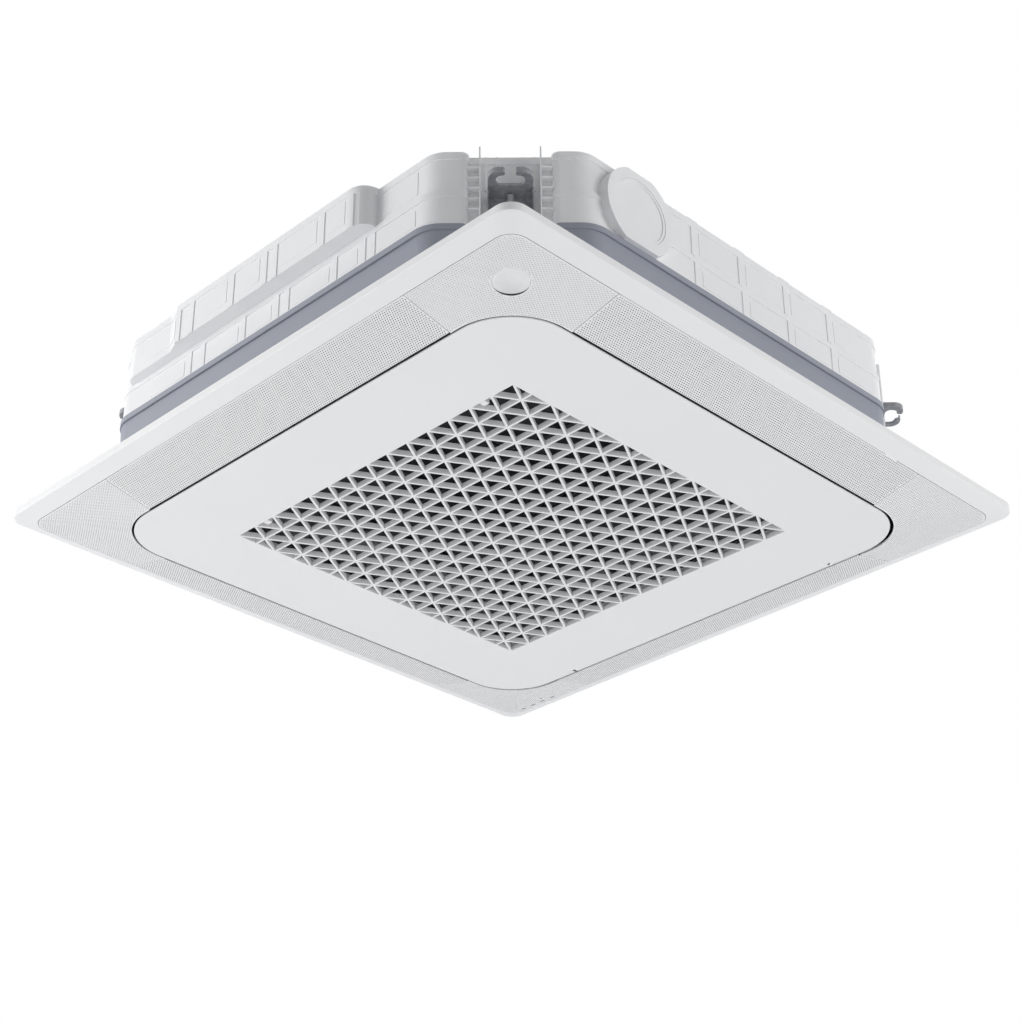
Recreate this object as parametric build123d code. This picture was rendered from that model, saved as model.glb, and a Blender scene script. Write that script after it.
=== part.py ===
from build123d import *
from math import atan2, ceil, cos, degrees, hypot, radians, sin, sqrt, tan
import os

os.makedirs("parts", exist_ok=True)

# A four-way ceiling cassette air conditioner, in millimetres, +Z up. The origin is the middle of the
# intake grille's lower face, the lowest plane of the closed unit. The grille's latches are at the front
# (-Y) and its hinge is at the rear (+Y). The knock-out is on the right (+X).

# ---------------------------------------------------------------- driving sizes: decoration panel
PANEL_SIDE = 950.0
PANEL_HEIGHT = 35.0
PANEL_CORNER_R = 40.0
STRIP_HEIGHT = 10.0          # upright edge between the ceiling and the arris
RIM_DROP = 7.6               # how far the rim falls from the arris to the seam round the blades
SEAM_SIDE = 904.8            # square of the seam round blades and corner covers
SEAM_CORNER_R = 24.4
ARRIS_R = 1.2                # round on the panel's outer edges
GRILLE_SIDE = 754.0
GRILLE_CORNER_R = 80.0
SKIN = 2.5                   # wall of every moulded panel piece
SEAM = 0.6                   # gap between neighbouring panel pieces
BLADE_SEAM = 283.0           # seam at each blade's end, from the middle of its side
COVER_GAP = 3.0              # corner cover to grille
SWING_ROOM = 3.2             # what the rear covers add to that along the hinge, for the opening grille
SLOT_GAP = 4.5               # blade to grille

# ---------------------------------------------------------------- driving sizes: blades and grille
AXIS_OUT = 31.5              # blade axis, outward from the grille's edge
AXIS_Z = 18.0
EAR_AT = 264.0               # inner face of a blade's ear, from the middle of its side
EAR_T = 3.0
EAR_R = 6.0
LUG_T = 4.0
LUG_GAP = 2.0
PIN_R = 2.5
RUNNING = 0.05               # radial clearance of every running fit
MOTOR_R = 10.0
MOTOR_LENGTH = 16.0
MOTOR_OFFSET = 4.0           # the motor's middle lies this far above its output shaft

CELL_SIDE = 37.0             # side of one lattice triangle
CELL_COLUMNS = 14
CELL_ROWS = 16
CELL_RIB = 3.0
LATTICE_DEPTH = 10.0
GRILLE_RIM = 11.0            # height of the grille's upturned edge
REAR_RIM = 7.5               # the same along the hinge, low enough to swing clear of the covers
GRILLE_EDGE_R = 1.2
FILTER_RAIL = 13.5
RAIL_T = 3.0
FILTER_T = 4.0
MESH_T = 0.8
HINGE_IN = 4.5               # hinge pin, inward from the grille's rear edge
HINGE_Z = 3.0
HINGE_PIN_R = 1.4
KNUCKLE_R = 2.4
HINGE_AT = 250.0             # hinge pin, from the middle of the rear side
LATCH_CELL = 5.5             # latch position in lattice cells, from the middle of the front side
LATCH_TRAVEL = 5.0
LATCH_WIDTH = 12.0

# ---------------------------------------------------------------- driving sizes: body
BODY_SIDE = 840.0
BODY_GAP = 3.0               # foam between panel and body
BAND_HEIGHT = 97.0
LIP_HEIGHT = 8.0
LIP_OUT = 3.0
BAND_DRAFT = 3.0             # degrees
BAND_IN = 11.0               # inner wall of the band, inward from the lip
WAIST_HEIGHT = 50.0          # band to the ledge where the casing bulges
CASING_RISE = 55.0           # ledge to roof
CASING_T = 2.5
CASING_IN = 6.0              # lower casing wall, inward from the lip
UPPER_IN = 9.0               # upper casing wall, inward from the lip
BODY_CORNER_R = 45.0
POCKET_WIDTH = 98.0
POCKET_FLOOR = 481.5         # hanger pocket's floor, from the middle along the diagonal
BULGE_OUT = 16.0             # front bulge, beyond the lip
BULGE_HALF = 182.0
BULGE_MID = 6.0
BULGE_SLANT = 24.0           # length of the slanted step at the front bulge's left end
SIDE_BULGE_OUT = 8.0
SIDE_BULGE_END = -302.0
SHOULDER_R = 24.0
KNOCKOUT_Y = -208.0
KNOCKOUT_Z = 186.0
KNOCKOUT_R = 44.0
BOSS_R = 58.0
BOSS_OUT = 15.0
RIB_WIDTH = 10.0
RIB_PROUD = 1.2
RIB_PITCH = 90.0
ROOF_BUMP = 3.0

CUT_SHARE = 0.3              # how much of a side wall's inset the corner faces follow

# Each corner: direction of its diagonal in degrees, distance of its cut face, round at its pocket.
CORNERS = {
    "near": (-45.0, 495.0, 9.0),
    "right": (45.0, 492.0, 6.0),
    "far": (135.0, 495.0, 9.0),
    "left": (-135.0, 521.0, 0.0),
}
SIDES = {"front": 0.0, "right": 90.0, "rear": 180.0, "left": 270.0}

# ---------------------------------------------------------------- driving sizes: hangers and insides
HANGER_Z = 178.0
HANGER_T = 2.5
HANGER_WIDTH = 53.0
HANGER_REACH = 534.0         # outer edge of the flange, from the middle along the diagonal
HANGER_LEG = 34.0
HANGER_SLOT = 33.6
HANGER_SLOT_DEPTH = 16.0
HANGER_LIP = 8.0
HANGER_MOUTH = 12.4

FAN_R = 225.0
FAN_BLADES = 9
FAN_EYE_R = 155.0
FAN_TOP = 205.0
FAN_SHEET = 2.5
HUB_CUP_R = 76.0
HUB_CUP_FLOOR = 150.0
SHAFT_R = 6.0
MOTOR_BODY_R = 62.0
MOTOR_BODY_H = 66.0
MOUNT_SIDE = 150.0
CUSHION_R = 9.0
CUSHION_H = 6.0
BELL_THROAT_R = 150.0
BELL_MOUTH_R = 192.0
BELL_PLATE_Z = 72.0
BELL_RISE = 24.0
COIL_OUT = 325.0
COIL_T = 38.0
COIL_CORNER_R = 70.0
COIL_BOTTOM = 66.0
COIL_END = 150.0             # the coil stops here on the two sides beside the right corner
FIN_PITCH = 20.0
FIN_GROOVE = 3.0
PAN_TOP = 80.0
PAN_FLOOR = 58.0
PAN_OPENING = 262.0
PAN_LEDGE = 10.0
DUCT_IN = 350.0
DUCT_OUT = 399.0
DUCT_HALF = 255.0
GAS_R = 7.94
LIQUID_R = 4.76
NOZZLE_R = 16.0
STUB_END = 470.0

# ---------------------------------------------------------------- levels and halves worked out from them
PANEL_HALF = PANEL_SIDE / 2
SEAM_HALF = SEAM_SIDE / 2
GRILLE_HALF = GRILLE_SIDE / 2
ARRIS_Z = PANEL_HEIGHT - STRIP_HEIGHT
SEAM_Z = ARRIS_Z - RIM_DROP
AXIS_AT = GRILLE_HALF + AXIS_OUT
BLADE_HALF = BLADE_SEAM - SEAM / 2
CELL_HEIGHT = CELL_SIDE * sqrt(3) / 2
WINDOW_X = CELL_COLUMNS * CELL_SIDE
WINDOW_Y = CELL_ROWS * CELL_HEIGHT
BODY_HALF = BODY_SIDE / 2
BODY_Z = PANEL_HEIGHT + BODY_GAP
BAND_TOP = BODY_Z + BAND_HEIGHT
LEDGE_Z = BAND_TOP + WAIST_HEIGHT
ROOF_Z = LEDGE_Z + CASING_RISE
HINGE_Y = GRILLE_HALF - HINGE_IN
DECK_Z = PANEL_HEIGHT - SKIN
EAR_OUT = EAR_AT + EAR_T
LUG_AT = EAR_OUT + LUG_GAP
PLATE_T = 1.5
LINER_T = 8.0
LINER_TOP = ROOF_Z - CASING_T
COIL_TOP = LINER_TOP - LINER_T


def save(name, shape):
    """Write one sub-part as parts/NAME.step."""
    export_step(shape, os.path.join("parts", name + ".step"))


def slab(sketch, bottom, top):
    """A sketch on the ground plane made solid between two levels."""
    return Pos(0, 0, bottom) * extrude(sketch, amount=top - bottom)


def box(x, y, z):
    """A box between two values on each axis."""
    middle = Pos((x[0] + x[1]) / 2, (y[0] + y[1]) / 2, (z[0] + z[1]) / 2)
    return middle * Box(x[1] - x[0], y[1] - y[0], z[1] - z[0])


def rod(radius, start, end):
    """A round bar between two points that differ on one axis."""
    a = Vector(*start)
    b = Vector(*end)
    return Solid.make_cylinder(radius, (b - a).length, Plane(origin=a, z_dir=b - a))


def upright(plan, thickness, at):
    """A plan drawn in Y and Z made into a plate of some thickness, its middle at a point."""
    return Plane(origin=at, x_dir=(0, 1, 0), z_dir=(1, 0, 0)) * extrude(plan, amount=thickness / 2, both=True)


def square(half, radius):
    """A square of a half side with rounded corners."""
    return RectangleRounded(2 * half, 2 * half, radius)


def face_z(out):
    """Level of the panel's sloping face at a distance outward from the middle."""
    return (out - GRILLE_HALF) * SEAM_Z / (SEAM_HALF - GRILLE_HALF)


def sloped(lift=0.0):
    """The shallow pyramid between the grille's edge and the seam, lifted by some height."""
    low = Pos(0, 0, lift) * square(GRILLE_HALF, GRILLE_CORNER_R)
    high = Pos(0, 0, lift + SEAM_Z) * square(SEAM_HALF, SEAM_CORNER_R)
    return loft([low, high], ruled=True)


def slope_skin():
    """The sloping skin that blades and corner covers are cut from."""
    inner = sloped(SKIN) + slab(square(SEAM_HALF, SEAM_CORNER_R), SKIN + SEAM_Z, 2 * SKIN + SEAM_Z)
    return sloped() - inner


def above_face():
    """The room above the panel's sloping face, up to the deck."""
    return sloped() + slab(square(SEAM_HALF, SEAM_CORNER_R), SEAM_Z, DECK_Z)


def outline_edges(shape, half, level):
    """A square outline's edges at one level: those whose middle is as far out as its sides or corners."""
    edges = [e for e in shape.edges() if abs(e.center().Z - level) < SEAM / 2]
    return [e for e in edges if max(abs(e.center().X), abs(e.center().Y)) > half - PANEL_CORNER_R / 2]


# ---------------------------------------------------------------- panel frame
def panel_frame():
    """The moulded frame: strip, rim, blade well, deck with outlets, lugs for blades and grille hinge."""
    rim = loft(
        [
            Pos(0, 0, SEAM_Z) * square(SEAM_HALF, SEAM_CORNER_R),
            Pos(0, 0, ARRIS_Z) * square(PANEL_HALF, PANEL_CORNER_R),
        ],
        ruled=True,
    )
    frame = rim + slab(square(PANEL_HALF, PANEL_CORNER_R), ARRIS_Z, PANEL_HEIGHT)
    frame = fillet(outline_edges(frame, PANEL_HALF, ARRIS_Z), ARRIS_R)
    wall = SEAM_HALF + SKIN
    trough = loft(
        [
            Pos(0, 0, SEAM_Z + SKIN + 1) * square(wall, SEAM_CORNER_R + SKIN),
            Pos(0, 0, ARRIS_Z + SKIN) * square(PANEL_HALF - SKIN, PANEL_CORNER_R - SKIN),
        ],
        ruled=True,
    )
    trough += slab(square(PANEL_HALF - SKIN, PANEL_CORNER_R - SKIN), ARRIS_Z + SKIN, PANEL_HEIGHT)
    trough -= slab(square(wall, SEAM_CORNER_R + SKIN), SEAM_Z, PANEL_HEIGHT)
    frame -= trough
    frame -= slab(square(SEAM_HALF, SEAM_CORNER_R), SEAM_Z, DECK_Z)
    frame -= slab(square(INTAKE_HALF, INTAKE_R), DECK_Z, PANEL_HEIGHT)
    outlet_mid = (OUTLET_IN + OUTLET_OUT) / 2
    for turn in SIDES.values():
        outlet = box((-OUTLET_HALF, OUTLET_HALF), (-OUTLET_OUT, -OUTLET_IN), (DECK_Z, PANEL_HEIGHT))
        frame -= Rot(0, 0, turn) * outlet
    skirt = slab(square(OUTLET_IN, GRILLE_CORNER_R) - square(OUTLET_IN - SKIN, GRILLE_CORNER_R - SKIN),
                 SKIRT_Z, DECK_Z)
    frame += skirt
    for turn in SIDES.values():
        for end in (-1, 1):
            frame += Rot(0, 0, turn) * blade_lug(end)
        for place in GUSSETS:
            gusset = box(
                (place - SKIN / 2, place + SKIN / 2),
                (-(PANEL_HALF - SKIN), -wall),
                (ARRIS_Z + SKIN, PANEL_HEIGHT - SKIN),
            )
            frame += Rot(0, 0, turn) * gusset
    for end in (-1, 1):
        frame += hinge_lug(end)
    for x, y in PANEL_SCREWS:
        frame -= Pos(x, y, DECK_Z) * Cylinder(SCREW_R, 4 * SKIN)
    return frame


OUTLET_IN = GRILLE_HALF - 3.0
OUTLET_OUT = SEAM_HALF - 8.0
OUTLET_HALF = EAR_AT - 2.0
INTAKE_HALF = 292.0
INTAKE_R = 30.0
SKIRT_Z = FILTER_RAIL
SCREW_R = 3.0
SCREW_HEAD_R = 6.5
SCREW_AT = 330.0
GUSSETS = [RIB_PITCH * step for step in (-4, -3, -2, -1, 0, 1, 2, 3, 4)]
PANEL_SCREWS = [(sx * SCREW_AT, sy * SCREW_AT) for sx in (-1, 1) for sy in (-1, 1)]


def blade_lug(end):
    """A bearing lug under the deck for one end of the front blade, end -1 or +1."""
    plate = Rectangle(2 * EAR_R, DECK_Z - AXIS_Z + 1, align=(Align.CENTER, Align.MIN)) + Circle(EAR_R)
    plate -= Circle(PIN_R + RUNNING)
    return upright(plate, LUG_T, (end * (LUG_AT + LUG_T / 2), -AXIS_AT, AXIS_Z))


def hinge_lug(end):
    """A lug from the deck that holds one grille hinge pin, end -1 or +1."""
    neck = Rectangle(2 * KNUCKLE_R, DECK_Z - HINGE_Z + 1, align=(Align.CENTER, Align.MIN))
    plate = neck + Circle(KNUCKLE_R) - Circle(HINGE_PIN_R + RUNNING)
    return upright(plate, LUG_T, (end * (HINGE_AT - KNUCKLE_LONG), HINGE_Y, HINGE_Z))


KNUCKLE_LONG = 10.0


# ---------------------------------------------------------------- blades and their motors
def blade():
    """The front louvre blade: skin, two stiffening ribs, two ears and their pins."""
    inner = GRILLE_HALF + SLOT_GAP
    outer = SEAM_HALF - SEAM
    cut = box((-BLADE_HALF, BLADE_HALF), (-outer, -inner), (-SKIN, PANEL_HEIGHT))
    shape = slope_skin() & cut
    for out in (inner + 14.0, outer - 14.0):
        rib = box((-EAR_AT, EAR_AT), (-out - 1.0, -out + 1.0), (face_z(out), face_z(out) + 3 * SKIN))
        shape += rib - sloped_keep_out()
    for end in (-1, 1):
        ear = Rectangle(2 * EAR_R, AXIS_Z - face_z(AXIS_AT), align=(Align.CENTER, Align.MAX)) + Circle(EAR_R)
        ear = upright(ear, EAR_T, (end * (EAR_AT + EAR_T / 2), -AXIS_AT, AXIS_Z))
        shape += ear - sloped_keep_out()
        reach = LUG_AT + LUG_T + (SOCKET_DEPTH - LUG_GAP if end > 0 else 0)
        shape += rod(PIN_R, (end * EAR_OUT, -AXIS_AT, AXIS_Z), (end * reach, -AXIS_AT, AXIS_Z))
    return shape


SOCKET_DEPTH = 8.0


def sloped_keep_out():
    """Everything under the front side's sloping face, where no blade part may be."""
    points = [
        (GRILLE_HALF - 10, face_z(GRILLE_HALF - 10)),
        (SEAM_HALF + 10, face_z(SEAM_HALF + 10)),
        (SEAM_HALF + 10, -PANEL_HEIGHT),
        (GRILLE_HALF - 10, -PANEL_HEIGHT),
    ]
    profile = make_face(Polyline(*[Vector(0, -out, z) for out, z in points], close=True))
    return extrude(profile, amount=PANEL_HALF, dir=(1, 0, 0), both=True)


def blade_motor():
    """The geared step motor at the +X end of the front blade, its socket on the blade's axis."""
    near = LUG_AT + LUG_T
    middle_z = AXIS_Z + MOTOR_OFFSET
    body = rod(MOTOR_R, (near, -AXIS_AT, middle_z), (near + MOTOR_LENGTH, -AXIS_AT, middle_z))
    wide = (-AXIS_AT - MOTOR_EAR, -AXIS_AT + MOTOR_EAR)
    body += box((near, near + PLATE_T), wide, (middle_z - MOTOR_EAR_HALF, middle_z + MOTOR_EAR_HALF))
    socket = rod(PIN_R + RUNNING, (near, -AXIS_AT, AXIS_Z), (near + SOCKET_DEPTH, -AXIS_AT, AXIS_Z))
    return body - socket


MOTOR_EAR = 13.0             # the motor's two screw ears, from its middle
MOTOR_EAR_HALF = 3.0


# ---------------------------------------------------------------- corner covers
def corner_cover(name):
    """One corner's cover: the sloping skin between two blades' seams, round the grille's corner."""
    turn = CORNERS[name][0] - CORNERS["near"][0]
    plan = square(SEAM_HALF - SEAM, SEAM_CORNER_R - SEAM)
    opening = square(GRILLE_HALF + COVER_GAP, GRILLE_CORNER_R + COVER_GAP)
    plan -= opening
    if name in REAR_COVERS:
        back = Vector(0, SWING_ROOM, 0).rotate(Axis.Z, -turn)
        plan -= Pos(back.X, back.Y) * opening
    near = BLADE_SEAM + SEAM / 2
    middle = (near + PANEL_SIDE) / 2
    plan &= Pos(middle, -middle) * Rectangle(PANEL_SIDE - near, PANEL_SIDE - near)
    if name == "near":
        plan -= Pos(CAP_AT, -CAP_AT) * Circle(CAP_R)
    if name == "far":
        plan -= lens_plans()
    cover = slope_skin() & slab(plan, -SKIN, PANEL_HEIGHT)
    for x, y in COVER_POSTS:
        cover += rod(POST_R, (x, y, 0), (x, y, DECK_Z)) & above_face()
    return Rot(0, 0, turn) * cover


REAR_COVERS = ("right", "far")
POST_R = 3.0
COVER_POSTS = [(330.0, -430.0), (430.0, -330.0), (428.0, -428.0)]
CAP_AT = 393.5
CAP_R = 21.5
CAP_DISH = 3.0
CAP_RIM = 2.0
LENS_Y = 442.0
LENS_X = 354.0
LENS_PITCH = 21.0
LENS_LONG = 10.0
LENS_WIDE = 4.4
LENS_FIT = 0.1
EYE_R = 2.4
EYE_DROP = 14.0
BOARD_T = 1.6
BOARD_Z = 24.0


def sensor_cap():
    """The round blank cap in the near corner cover, its face a shallow dish."""
    disc = rod(CAP_R - SEAM / 2, (CAP_AT, -CAP_AT, 0), (CAP_AT, -CAP_AT, SEAM_Z))
    disc &= sloped() - sloped(3 * SKIN)
    dish_half = CAP_R - CAP_RIM
    sphere_r = (dish_half ** 2 + CAP_DISH ** 2) / (2 * CAP_DISH)
    out = CAP_AT * sqrt(2)
    low = (GRILLE_HALF - GRILLE_CORNER_R) * sqrt(2) + GRILLE_CORNER_R
    high = (SEAM_HALF - SEAM_CORNER_R) * sqrt(2) + SEAM_CORNER_R
    face = (out - low) * SEAM_Z / (high - low)
    return disc - Pos(CAP_AT, -CAP_AT, face + CAP_DISH - sphere_r) * Sphere(sphere_r)


def lens_plans():
    """Plans of the receiver display's four long lenses and its round eye, half a turn from their place."""
    lens = SlotOverall(LENS_LONG, LENS_WIDE)
    plans = [Pos(LENS_X + LENS_PITCH * step, -LENS_Y) * lens for step in range(4)]
    plans.append(Pos(LENS_X + LENS_PITCH / 2, EYE_DROP - LENS_Y) * Circle(EYE_R))
    return plans


def display_lenses():
    """The light guides that fill the far cover's openings, flush with its face, up to their board."""
    room = above_face()
    guides = [room & slab(offset(plan, -LENS_FIT), 0, BOARD_Z) for plan in lens_plans()]
    return Compound([Rot(0, 0, 180) * guide for guide in guides])


def display_board():
    """The receiver's board behind the lenses."""
    right = LENS_X + 3 * LENS_PITCH + LENS_LONG / 2
    board = box((LENS_X - LENS_LONG, right), (-LENS_Y - LENS_WIDE, -LENS_Y + EYE_DROP + LENS_WIDE),
                (BOARD_Z, BOARD_Z + BOARD_T))
    return Rot(0, 0, 180) * board


# ---------------------------------------------------------------- intake grille
def cell_outlines():
    """The lattice's open cells: whole triangles, and halves at both ends of each row."""
    left = -WINDOW_X / 2
    bottom = -WINDOW_Y / 2
    inset = CELL_RIB / 2
    cells = []
    for row in range(CELL_ROWS):
        low = bottom + row * CELL_HEIGHT
        high = low + CELL_HEIGHT
        flip = row % 2
        base, tip = (low, high) if flip == 0 else (high, low)
        for column in range(CELL_COLUMNS):
            x = left + column * CELL_SIDE
            cells.append([(x, base), (x + CELL_SIDE, base), (x + CELL_SIDE / 2, tip)])
            if column:
                cells.append([(x - CELL_SIDE / 2, tip), (x + CELL_SIDE / 2, tip), (x, base)])
        for x, way in ((left, 1), (-left, -1)):
            cells.append([(x, base), (x, tip), (x + way * CELL_SIDE / 2, tip)])
    return [inset_triangle(corners, inset) for corners in cells]


def inset_triangle(corners, inset):
    """A triangle's corners moved inward so that every side moves by the inset."""
    sides = [hypot(corners[(i + 1) % 3][0] - corners[(i + 2) % 3][0],
                   corners[(i + 1) % 3][1] - corners[(i + 2) % 3][1]) for i in range(3)]
    total = sum(sides)
    middle = [sum(sides[i] * corners[i][axis] for i in range(3)) / total for axis in (0, 1)]
    area = abs((corners[1][0] - corners[0][0]) * (corners[2][1] - corners[0][1])
               - (corners[2][0] - corners[0][0]) * (corners[1][1] - corners[0][1])) / 2
    shrink = 1 - inset / (2 * area / total)
    return [(middle[0] + (x - middle[0]) * shrink, middle[1] + (y - middle[1]) * shrink) for x, y in corners]


def grille_panel():
    """The intake grille moulding: flat plate, upturned edge, triangular lattice, rails and knuckles."""
    holes = [Wire.make_polygon([Vector(x, y, 0) for x, y in cell], close=True) for cell in cell_outlines()]
    rails = Rectangle(WINDOW_X + 2 * RAIL_T, WINDOW_Y + 2 * RAIL_T)
    plate = Face(square(GRILLE_HALF, GRILLE_CORNER_R).faces()[0].outer_wire(), holes)
    egg_crate = Face(rails.faces()[0].outer_wire(), holes)
    shape = Solid.extrude(plate, Vector(0, 0, SKIN))
    shape = fillet(shape.faces().sort_by(Axis.Z)[0].outer_wire().edges(), GRILLE_EDGE_R)
    deep = Pos(0, 0, SKIN) * Solid.extrude(egg_crate, Vector(0, 0, LATTICE_DEPTH - SKIN))
    shape = Part() + shape + deep
    rim = square(GRILLE_HALF, GRILLE_CORNER_R) - square(GRILLE_HALF - 2, GRILLE_CORNER_R - 2)
    edge = slab(rim, SKIN, GRILLE_RIM)
    rear = GRILLE_HALF - GRILLE_CORNER_R
    edge -= box((-GRILLE_HALF, GRILLE_HALF), (rear, GRILLE_HALF), (REAR_RIM, GRILLE_RIM))
    for end in (-1, 1):
        edge -= box(hinge_span(end, 2.0), (HINGE_Y - 10, GRILLE_HALF + 1), (SKIN, GRILLE_RIM))
    edge += rail_walls()
    for end in (-1, 1):
        shape -= lug_notch(end)
    for turn in SIDES.values():
        brace = box((-1.0, 1.0), (-(GRILLE_HALF - 1), -(WINDOW_Y / 2 + RAIL_T)), (SKIN, GRILLE_RIM - 4))
        for place in BRACES:
            edge += Rot(0, 0, turn) * Pos(place, 0, 0) * brace
    for end in (-1, 1):
        edge += knuckle(end)
    panel = shape + edge
    for end in (-1, 1):
        panel -= hinge_bore(end)
    return panel


BRACES = (-150.0, 0.0, 150.0)


def lug_notch(end):
    """The open notch in the grille's rear edge that one hinge lug stands in."""
    middle = end * (HINGE_AT - KNUCKLE_LONG)
    half = LUG_T / 2 + LUG_ROOM
    return box((middle - half, middle + half), (HINGE_Y - KNUCKLE_R - LUG_ROOM, GRILLE_HALF), (0, SKIN))


LUG_ROOM = 0.6


def rail_walls():
    """Low walls round the window that the filter rests on, notched for the two latch slides."""
    outer = Rectangle(WINDOW_X + 2 * RAIL_T, WINDOW_Y + 2 * RAIL_T)
    walls = slab(outer - Rectangle(WINDOW_X, WINDOW_Y), LATTICE_DEPTH, FILTER_RAIL)
    for end in (-1, 1):
        x = end * LATCH_CELL * CELL_SIDE
        notch = (x - LATCH_WIDTH / 2 - 1, x + LATCH_WIDTH / 2 + 1)
        walls -= box(notch, (-WINDOW_Y / 2 - 2 * RAIL_T, -WINDOW_Y / 2 + 1), (LATTICE_DEPTH, FILTER_RAIL))
    return walls


def hinge_span(end, room):
    """X range of one hinge: its knuckles and lug with some room."""
    middle = end * (HINGE_AT - KNUCKLE_LONG)
    half = LUG_T / 2 + KNUCKLE_LONG + room
    return (middle - half, middle + half)


def hinge_bore(end):
    """The running bore for one hinge pin, through the knuckles and the plate they stand on."""
    low, high = hinge_span(end, 0.0)
    return rod(HINGE_PIN_R + RUNNING, (low, HINGE_Y, HINGE_Z), (high, HINGE_Y, HINGE_Z))


def knuckle(end):
    """Two knuckles on the grille beside one hinge lug."""
    plan = Rectangle(2 * KNUCKLE_R, HINGE_Z - SKIN, align=(Align.CENTER, Align.MAX)) + Circle(KNUCKLE_R)
    middle = end * (HINGE_AT - KNUCKLE_LONG)
    step = LUG_T / 2 + 1 + (KNUCKLE_LONG - 1) / 2
    rings = [upright(plan, KNUCKLE_LONG - 1, (middle + way * step, HINGE_Y, HINGE_Z)) for way in (-1, 1)]
    return rings[0] + rings[1]


def hinge_pins():
    """The two steel pins that the grille swings on, held in the frame's lugs."""
    pins = []
    for end in (-1, 1):
        low, high = hinge_span(end, 0.0)
        pins.append(rod(HINGE_PIN_R, (low, HINGE_Y, HINGE_Z), (high, HINGE_Y, HINGE_Z)))
    return Compound(pins)


def latch(end):
    """One latch: a finger tab in a lattice cell on a slide that runs out to the grille's front edge."""
    x = end * LATCH_CELL * CELL_SIDE
    span = (x - LATCH_WIDTH / 2, x + LATCH_WIDTH / 2)
    cell_low = -WINDOW_Y / 2
    tongue = (-(GRILLE_HALF - TONGUE_BACK), cell_low + SLIDE_END)
    tab = box((x - TAB_HALF, x + TAB_HALF), (cell_low + CELL_RIB, cell_low + CELL_RIB + TAB_LONG),
              (TAB_LOW, LATTICE_DEPTH + SLIDE_GAP))
    slide = box(span, tongue, (LATTICE_DEPTH + SLIDE_GAP, FILTER_RAIL - SLIDE_GAP))
    window = box((x - SPRING_R - SLIDE_GAP, x + SPRING_R + SLIDE_GAP), SPRING_WINDOW, (0, PANEL_HEIGHT))
    tip = box(span, (tongue[0], tongue[0] + TAB_LONG), (GRILLE_RIM + SLIDE_GAP, TONGUE_TOP))
    return Part() + (slide - window) + tab + tip


SLIDE_GAP = 0.3              # between a latch slide and what it runs on
SLIDE_END = 16.0             # inner end of the slide, inward from the window's edge
TONGUE_BACK = 6.0            # the closed tongue's tip, inward from the grille's edge
TONGUE_TOP = 17.0
TAB_HALF = 4.5
TAB_LONG = 8.0
TAB_LOW = 1.0
SPRING_R = 2.0
SPRING_WINDOW = (-340.0, -300.0)
SPRING_STOP = -316.0         # fixed end of each latch spring


def latch_springs():
    """The return spring of each latch, drawn as its outer shape in the slide's window."""
    springs = []
    for end in (-1, 1):
        x = end * LATCH_CELL * CELL_SIDE
        z = (LATTICE_DEPTH + FILTER_RAIL) / 2
        springs.append(rod(SPRING_R - 0.25, (x, SPRING_WINDOW[0] + SLIDE_GAP, z), (x, SPRING_STOP, z)))
    return Compound(springs)


def latch_guides():
    """Two guides on the grille's back that the latch slides run in, with the springs' stops."""
    guides = []
    for end in (-1, 1):
        x = end * LATCH_CELL * CELL_SIDE
        for y in GUIDES_Y:
            inner = LATCH_WIDTH / 2 + SLIDE_GAP
            for way in (-1, 1):
                side = sorted((x + way * inner, x + way * (inner + RAIL_T)))
                guides.append(box(side, (y - RAIL_T, y + RAIL_T), (SKIN, FILTER_RAIL + 1)))
        stop = (SPRING_STOP, SPRING_STOP + RAIL_T)
        guides.append(box((x - SPRING_R, x + SPRING_R), stop, (SKIN, FILTER_RAIL)))
    return guides


GUIDES_Y = (-355.0, -290.0)


def filter_frame():
    """The filter's moulded frame with its cross bars."""
    half_x = WINDOW_X / 2 + RAIL_T
    half_y = WINDOW_Y / 2 + RAIL_T
    plan = RectangleRounded(2 * half_x, 2 * half_y, 6.0)
    clear_x = half_x - FILTER_BORDER
    clear_y = half_y - FILTER_BORDER
    for column in range(FILTER_PANES):
        for row in range(FILTER_PANES):
            wide = (2 * clear_x - (FILTER_PANES - 1) * FILTER_BAR) / FILTER_PANES
            deep = (2 * clear_y - (FILTER_PANES - 1) * FILTER_BAR) / FILTER_PANES
            x = -clear_x + wide / 2 + column * (wide + FILTER_BAR)
            y = -clear_y + deep / 2 + row * (deep + FILTER_BAR)
            plan -= Pos(x, y) * Rectangle(wide, deep)
    return slab(plan, FILTER_RAIL, FILTER_RAIL + FILTER_T)


FILTER_BORDER = 9.0
FILTER_BAR = 4.0
FILTER_PANES = 4


def filter_mesh():
    """The filter's net, a thin sheet on the frame's upper face."""
    low = FILTER_RAIL + FILTER_T
    return slab(Rectangle(WINDOW_X, WINDOW_Y), low, low + MESH_T)


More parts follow.
